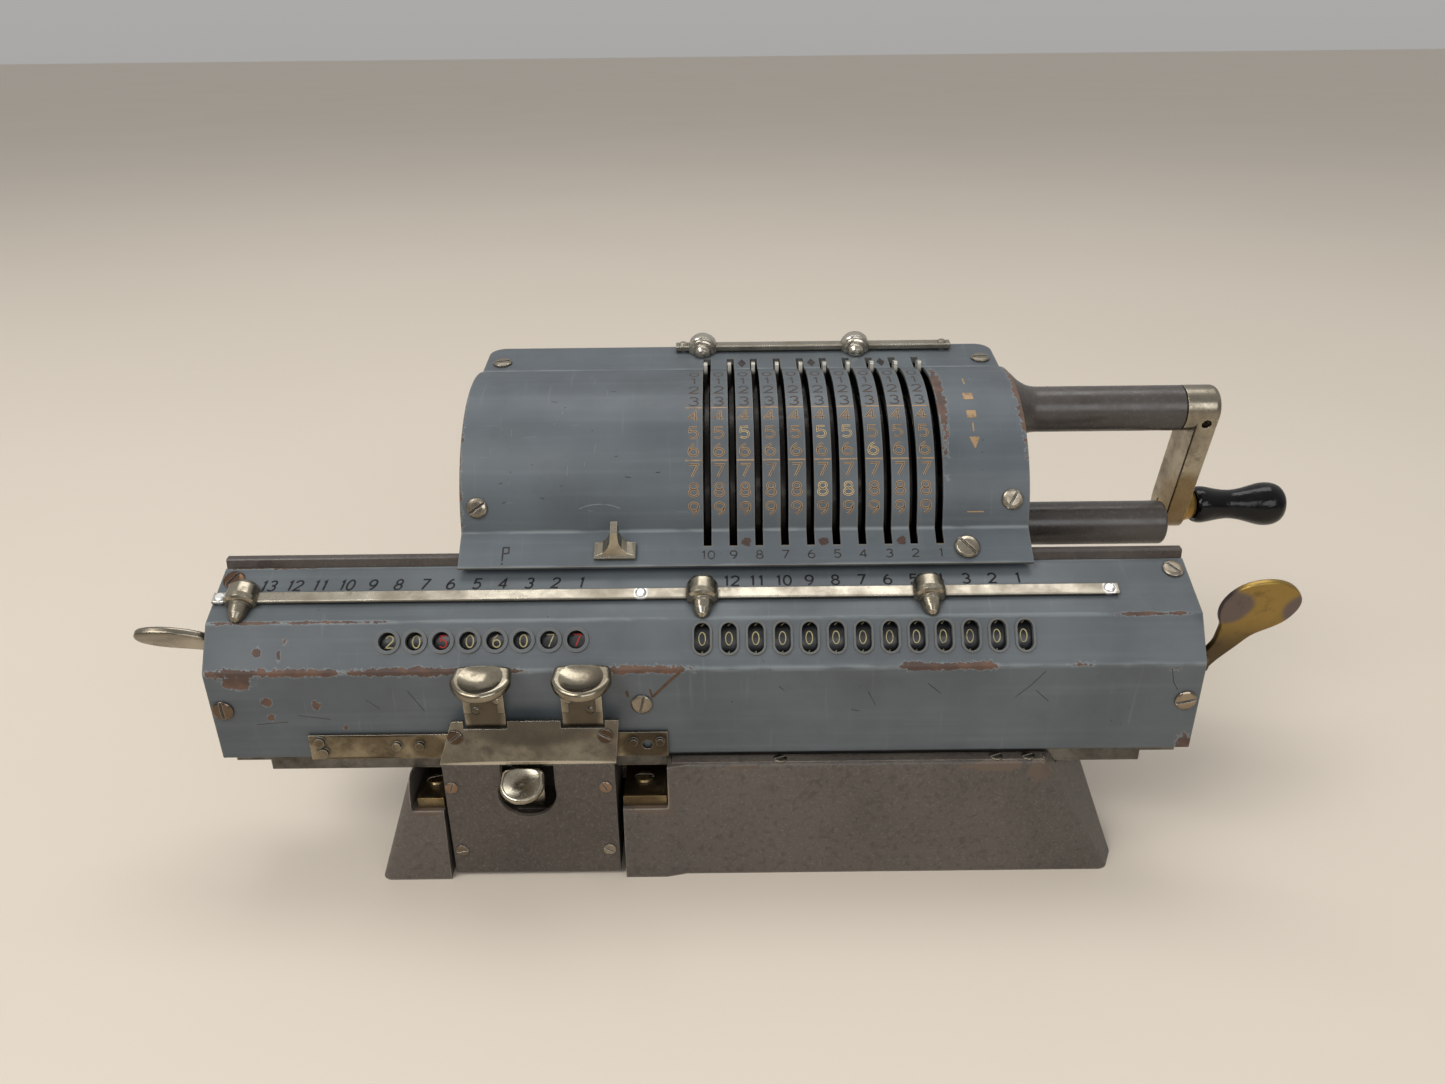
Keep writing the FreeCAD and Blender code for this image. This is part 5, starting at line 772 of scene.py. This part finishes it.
# rub marks through the paint: (points, width); u along X, v up the front face from the ridge
RUB_MARKS = ((((-19.6, -0.9), (-22.4, -3.6), (-25.2, -6.6), (-27.6, -9.2)), 0.85),
             (((-27.6, -9.2), (-28.2, -6.4)), 0.6),
             (((-34.8, -6.9), (-34.4, -8.9)), 0.8))
RIGHT_SCRATCHES = (((82.1, -1.9), (78.4, -6.6), (74.5, -10.4)),
                   ((117.2, -1.7), (118.2, -6.0), (119.8, -8.6)),
                   ((80.0, -8.2), (84.0, -12.0)),
                   ((33.0, -8.0), (35.2, -12.5)),
                   ((49.5, -5.5), (53.5, -9.0)),
                   ((8.0, -6.0), (9.5, -7.4)),
                   ((28.5, -14.0), (30.8, -14.6)))
LEFT_SCRATCHES = (((-96.0, -6.0), (-92.0, -13.0)),
                  ((-128.0, -14.0), (-119.0, -15.5)),
                  ((-140.0, -17.0), (-131.0, -16.2)),
                  ((-108.0, -9.0), (-104.5, -12.0)))
DIGIT_TURN = 36.0                               # degrees between neighbouring numbers on a wheel


def carriage_numerals():
    """Two rows of place numbers, 13 to 1, on the carriage's top slope."""
    mesh = bmesh.new()
    for i in range(RESULTS):
        number = str(RESULTS - i)
        left = on_plane(LEFT_ROW_X1 + PITCH * i, BEND, UP_TOP, OUT_TOP)
        right = on_plane(RIGHT_ROW_X1 + PITCH * i, BEND, UP_TOP, OUT_TOP)
        numeral(mesh, number, lifted(left, ROW_UP), 3.6, 0.56, 0.6, slant=0.16)
        numeral(mesh, number, lifted(right, ROW_UP), 3.5, 0.6, 0.58)
    add_piece("carriage_numerals", mesh, "black_mark", "carriage")


def carriage_scratches():
    """Rub marks through the paint on the front face, and fine dark scratches."""
    rub, thin = bmesh.new(), bmesh.new()
    front = on_plane(0.0, RIDGE, UP_LOW, OUT_LOW)
    for points, width in RUB_MARKS:
        stroke(rub, list(points), False, front, width)
    for points in RIGHT_SCRATCHES:
        stroke(thin, list(points), False, front, 0.2, 0.02)
    for points in LEFT_SCRATCHES:
        stroke(thin, list(points), False, front, 0.18, 0.02)
    add_piece("carriage_rub_marks", rub, "primer_mark", "carriage")
    add_piece("carriage_scratches", thin, "dark_mark", "carriage")


def wheel_digits():
    """Numbers 0 to 9 round every wheel, with the shown one in its window."""
    result = bmesh.new()
    for i in range(RESULTS):
        for value in range(10):
            angle = WINDOW_ANGLE - DIGIT_TURN * value
            place = on_arc(RESULT_X1 + PITCH * i, WHEEL_C, WHEEL_R, angle)
            numeral(result, str(value), place, 3.6, 0.52, 0.28)
    add_piece("result_digits", result, "cream_mark", "result_wheels")
    pale, red = bmesh.new(), bmesh.new()
    for i, shown in enumerate(COUNT_SHOWN):
        mesh = red if i in COUNT_RED else pale
        for value in range(10):
            angle = WINDOW_ANGLE - DIGIT_TURN * (value - shown)
            place = on_arc(COUNT_X1 + PITCH * i, WHEEL_C, WHEEL_R, angle)
            numeral(mesh, str(value), place, 3.4, 0.6, 0.36)
    add_piece("counter_digits_pale", pale, "cream_mark", "counter_wheels")
    add_piece("counter_digits_red", red, "red_mark", "counter_wheels")


# ---------------------------------------------------------------- stage, lights and camera
CAMERA_AT = (-7.54, -319.89, 227.96)
CAMERA_PITCH, CAMERA_YAW, CAMERA_ROLL = 25.17, 0.03, 0.62     # degrees
LENS, SENSOR = 27.01968, 36.0                                 # millimetres
FLOOR_HALF = 12             # metres
ROOM_STRENGTH = 0.6
LIGHTS_AIM = (0, 0, 0.05)
# name, place and size in metres, power in watts, colour
LIGHTS = (("key", (-0.9, -0.8, 1.4), (1.2, 0.8), 18, (1.0, 0.98, 0.95)),
          ("fill", (0.5, -1.4, 0.75), (1.2, 0.7), 7, (0.97, 0.98, 1.0)),
          ("top", (0.1, 0.5, 1.6), (1.4, 0.6), 8, (1.0, 1.0, 1.0)))


def camera():
    """Stands in front of the machine, a little left of its middle, and looks down at it."""
    data = bpy.data.cameras.new("camera")
    data.sensor_fit = "HORIZONTAL"
    data.sensor_width = SENSOR
    data.lens = LENS
    data.clip_start, data.clip_end = 0.01, 50
    pitch, yaw, roll = (math.radians(a) for a in (CAMERA_PITCH, CAMERA_YAW, CAMERA_ROLL))
    ahead = Vector((math.sin(yaw) * math.cos(pitch), math.cos(yaw) * math.cos(pitch), -math.sin(pitch)))
    right = Vector((math.cos(yaw), -math.sin(yaw), 0))
    down = ahead.cross(right)
    side = right * math.cos(roll) + down * math.sin(roll)
    below = -right * math.sin(roll) + down * math.cos(roll)
    turn = Matrix((side, -below, -ahead)).transposed()
    made = bpy.data.objects.new("camera", data)
    made.matrix_world = Matrix.Translation(Vector(CAMERA_AT) * MM) @ turn.to_4x4()
    bpy.context.scene.collection.objects.link(made)
    bpy.context.scene.camera = made


def area_light(name, place, size, power, colour):
    """A soft rectangular light aimed at the machine."""
    data = bpy.data.lights.new(name, "AREA")
    data.shape = "RECTANGLE"
    data.size, data.size_y = size
    data.energy = power
    data.color = colour
    made = bpy.data.objects.new(name, data)
    made.location = place
    made.rotation_euler = (Vector(LIGHTS_AIM) - Vector(place)).to_track_quat("-Z", "Y").to_euler()
    bpy.context.scene.collection.objects.link(made)


def pale_floor():
    """A plain pale tabletop far wider than the machine."""
    mesh = bmesh.new()
    bmesh.ops.create_grid(mesh, x_segments=1, y_segments=1, size=FLOOR_HALF)
    data = bpy.data.meshes.new("floor")
    mesh.to_mesh(data)
    mesh.free()
    floor = bpy.data.objects.new("floor", data)
    g = Graph("floor_pale")
    colour = g.mix(g.noise(3, 3), rgb("cdc2b2"), rgb("d4c9ba"))
    data.materials.append(g.finish(colour, 0.6, round_edge=0.0))
    bpy.context.scene.collection.objects.link(floor)


def pale_room():
    """World light: brighter overhead than at the horizon, darker on the camera's side."""
    world = bpy.data.worlds.new("studio")
    bpy.context.scene.world = world
    world.use_nodes = True
    tree = world.node_tree
    tree.nodes.clear()
    split = tree.nodes.new("ShaderNodeSeparateXYZ")
    tree.links.new(tree.nodes.new("ShaderNodeTexCoord").outputs["Generated"], split.inputs[0])

    def shade(axis, low, high, dim):
        ramp = tree.nodes.new("ShaderNodeMapRange")
        ramp.inputs["From Min"].default_value = low
        ramp.inputs["From Max"].default_value = high
        tree.links.new(split.outputs[axis], ramp.inputs["Value"])
        mix = tree.nodes.new("ShaderNodeMix")
        mix.data_type = "RGBA"
        mix.inputs[6].default_value = dim
        mix.inputs[7].default_value = (1, 1, 1, 1)
        tree.links.new(ramp.outputs[0], mix.inputs[0])
        return mix.outputs[2]

    both = tree.nodes.new("ShaderNodeMix")
    both.data_type, both.blend_type = "RGBA", "MULTIPLY"
    both.inputs[0].default_value = 1.0
    tree.links.new(shade(2, -0.1, 0.7, (0.62, 0.61, 0.6, 1)), both.inputs[6])
    tree.links.new(shade(1, -0.8, 0.2, (0.52, 0.53, 0.55, 1)), both.inputs[7])
    back = tree.nodes.new("ShaderNodeBackground")
    tree.links.new(both.outputs[2], back.inputs["Color"])
    back.inputs["Strength"].default_value = ROOM_STRENGTH
    tree.links.new(back.outputs[0], tree.nodes.new("ShaderNodeOutputWorld").inputs[0])


def studio():
    """Floor, room light and the three soft lamps."""
    pale_floor()
    pale_room()
    for light in LIGHTS:
        area_light(*light)
    bpy.context.scene.view_settings.view_transform = "Standard"


finish_cad_nodes()
drum_numerals()
flange_numerals()
direction_marks()
cover_marks()
cover_scratches()
carriage_numerals()
carriage_scratches()
wheel_digits()
studio()
camera()
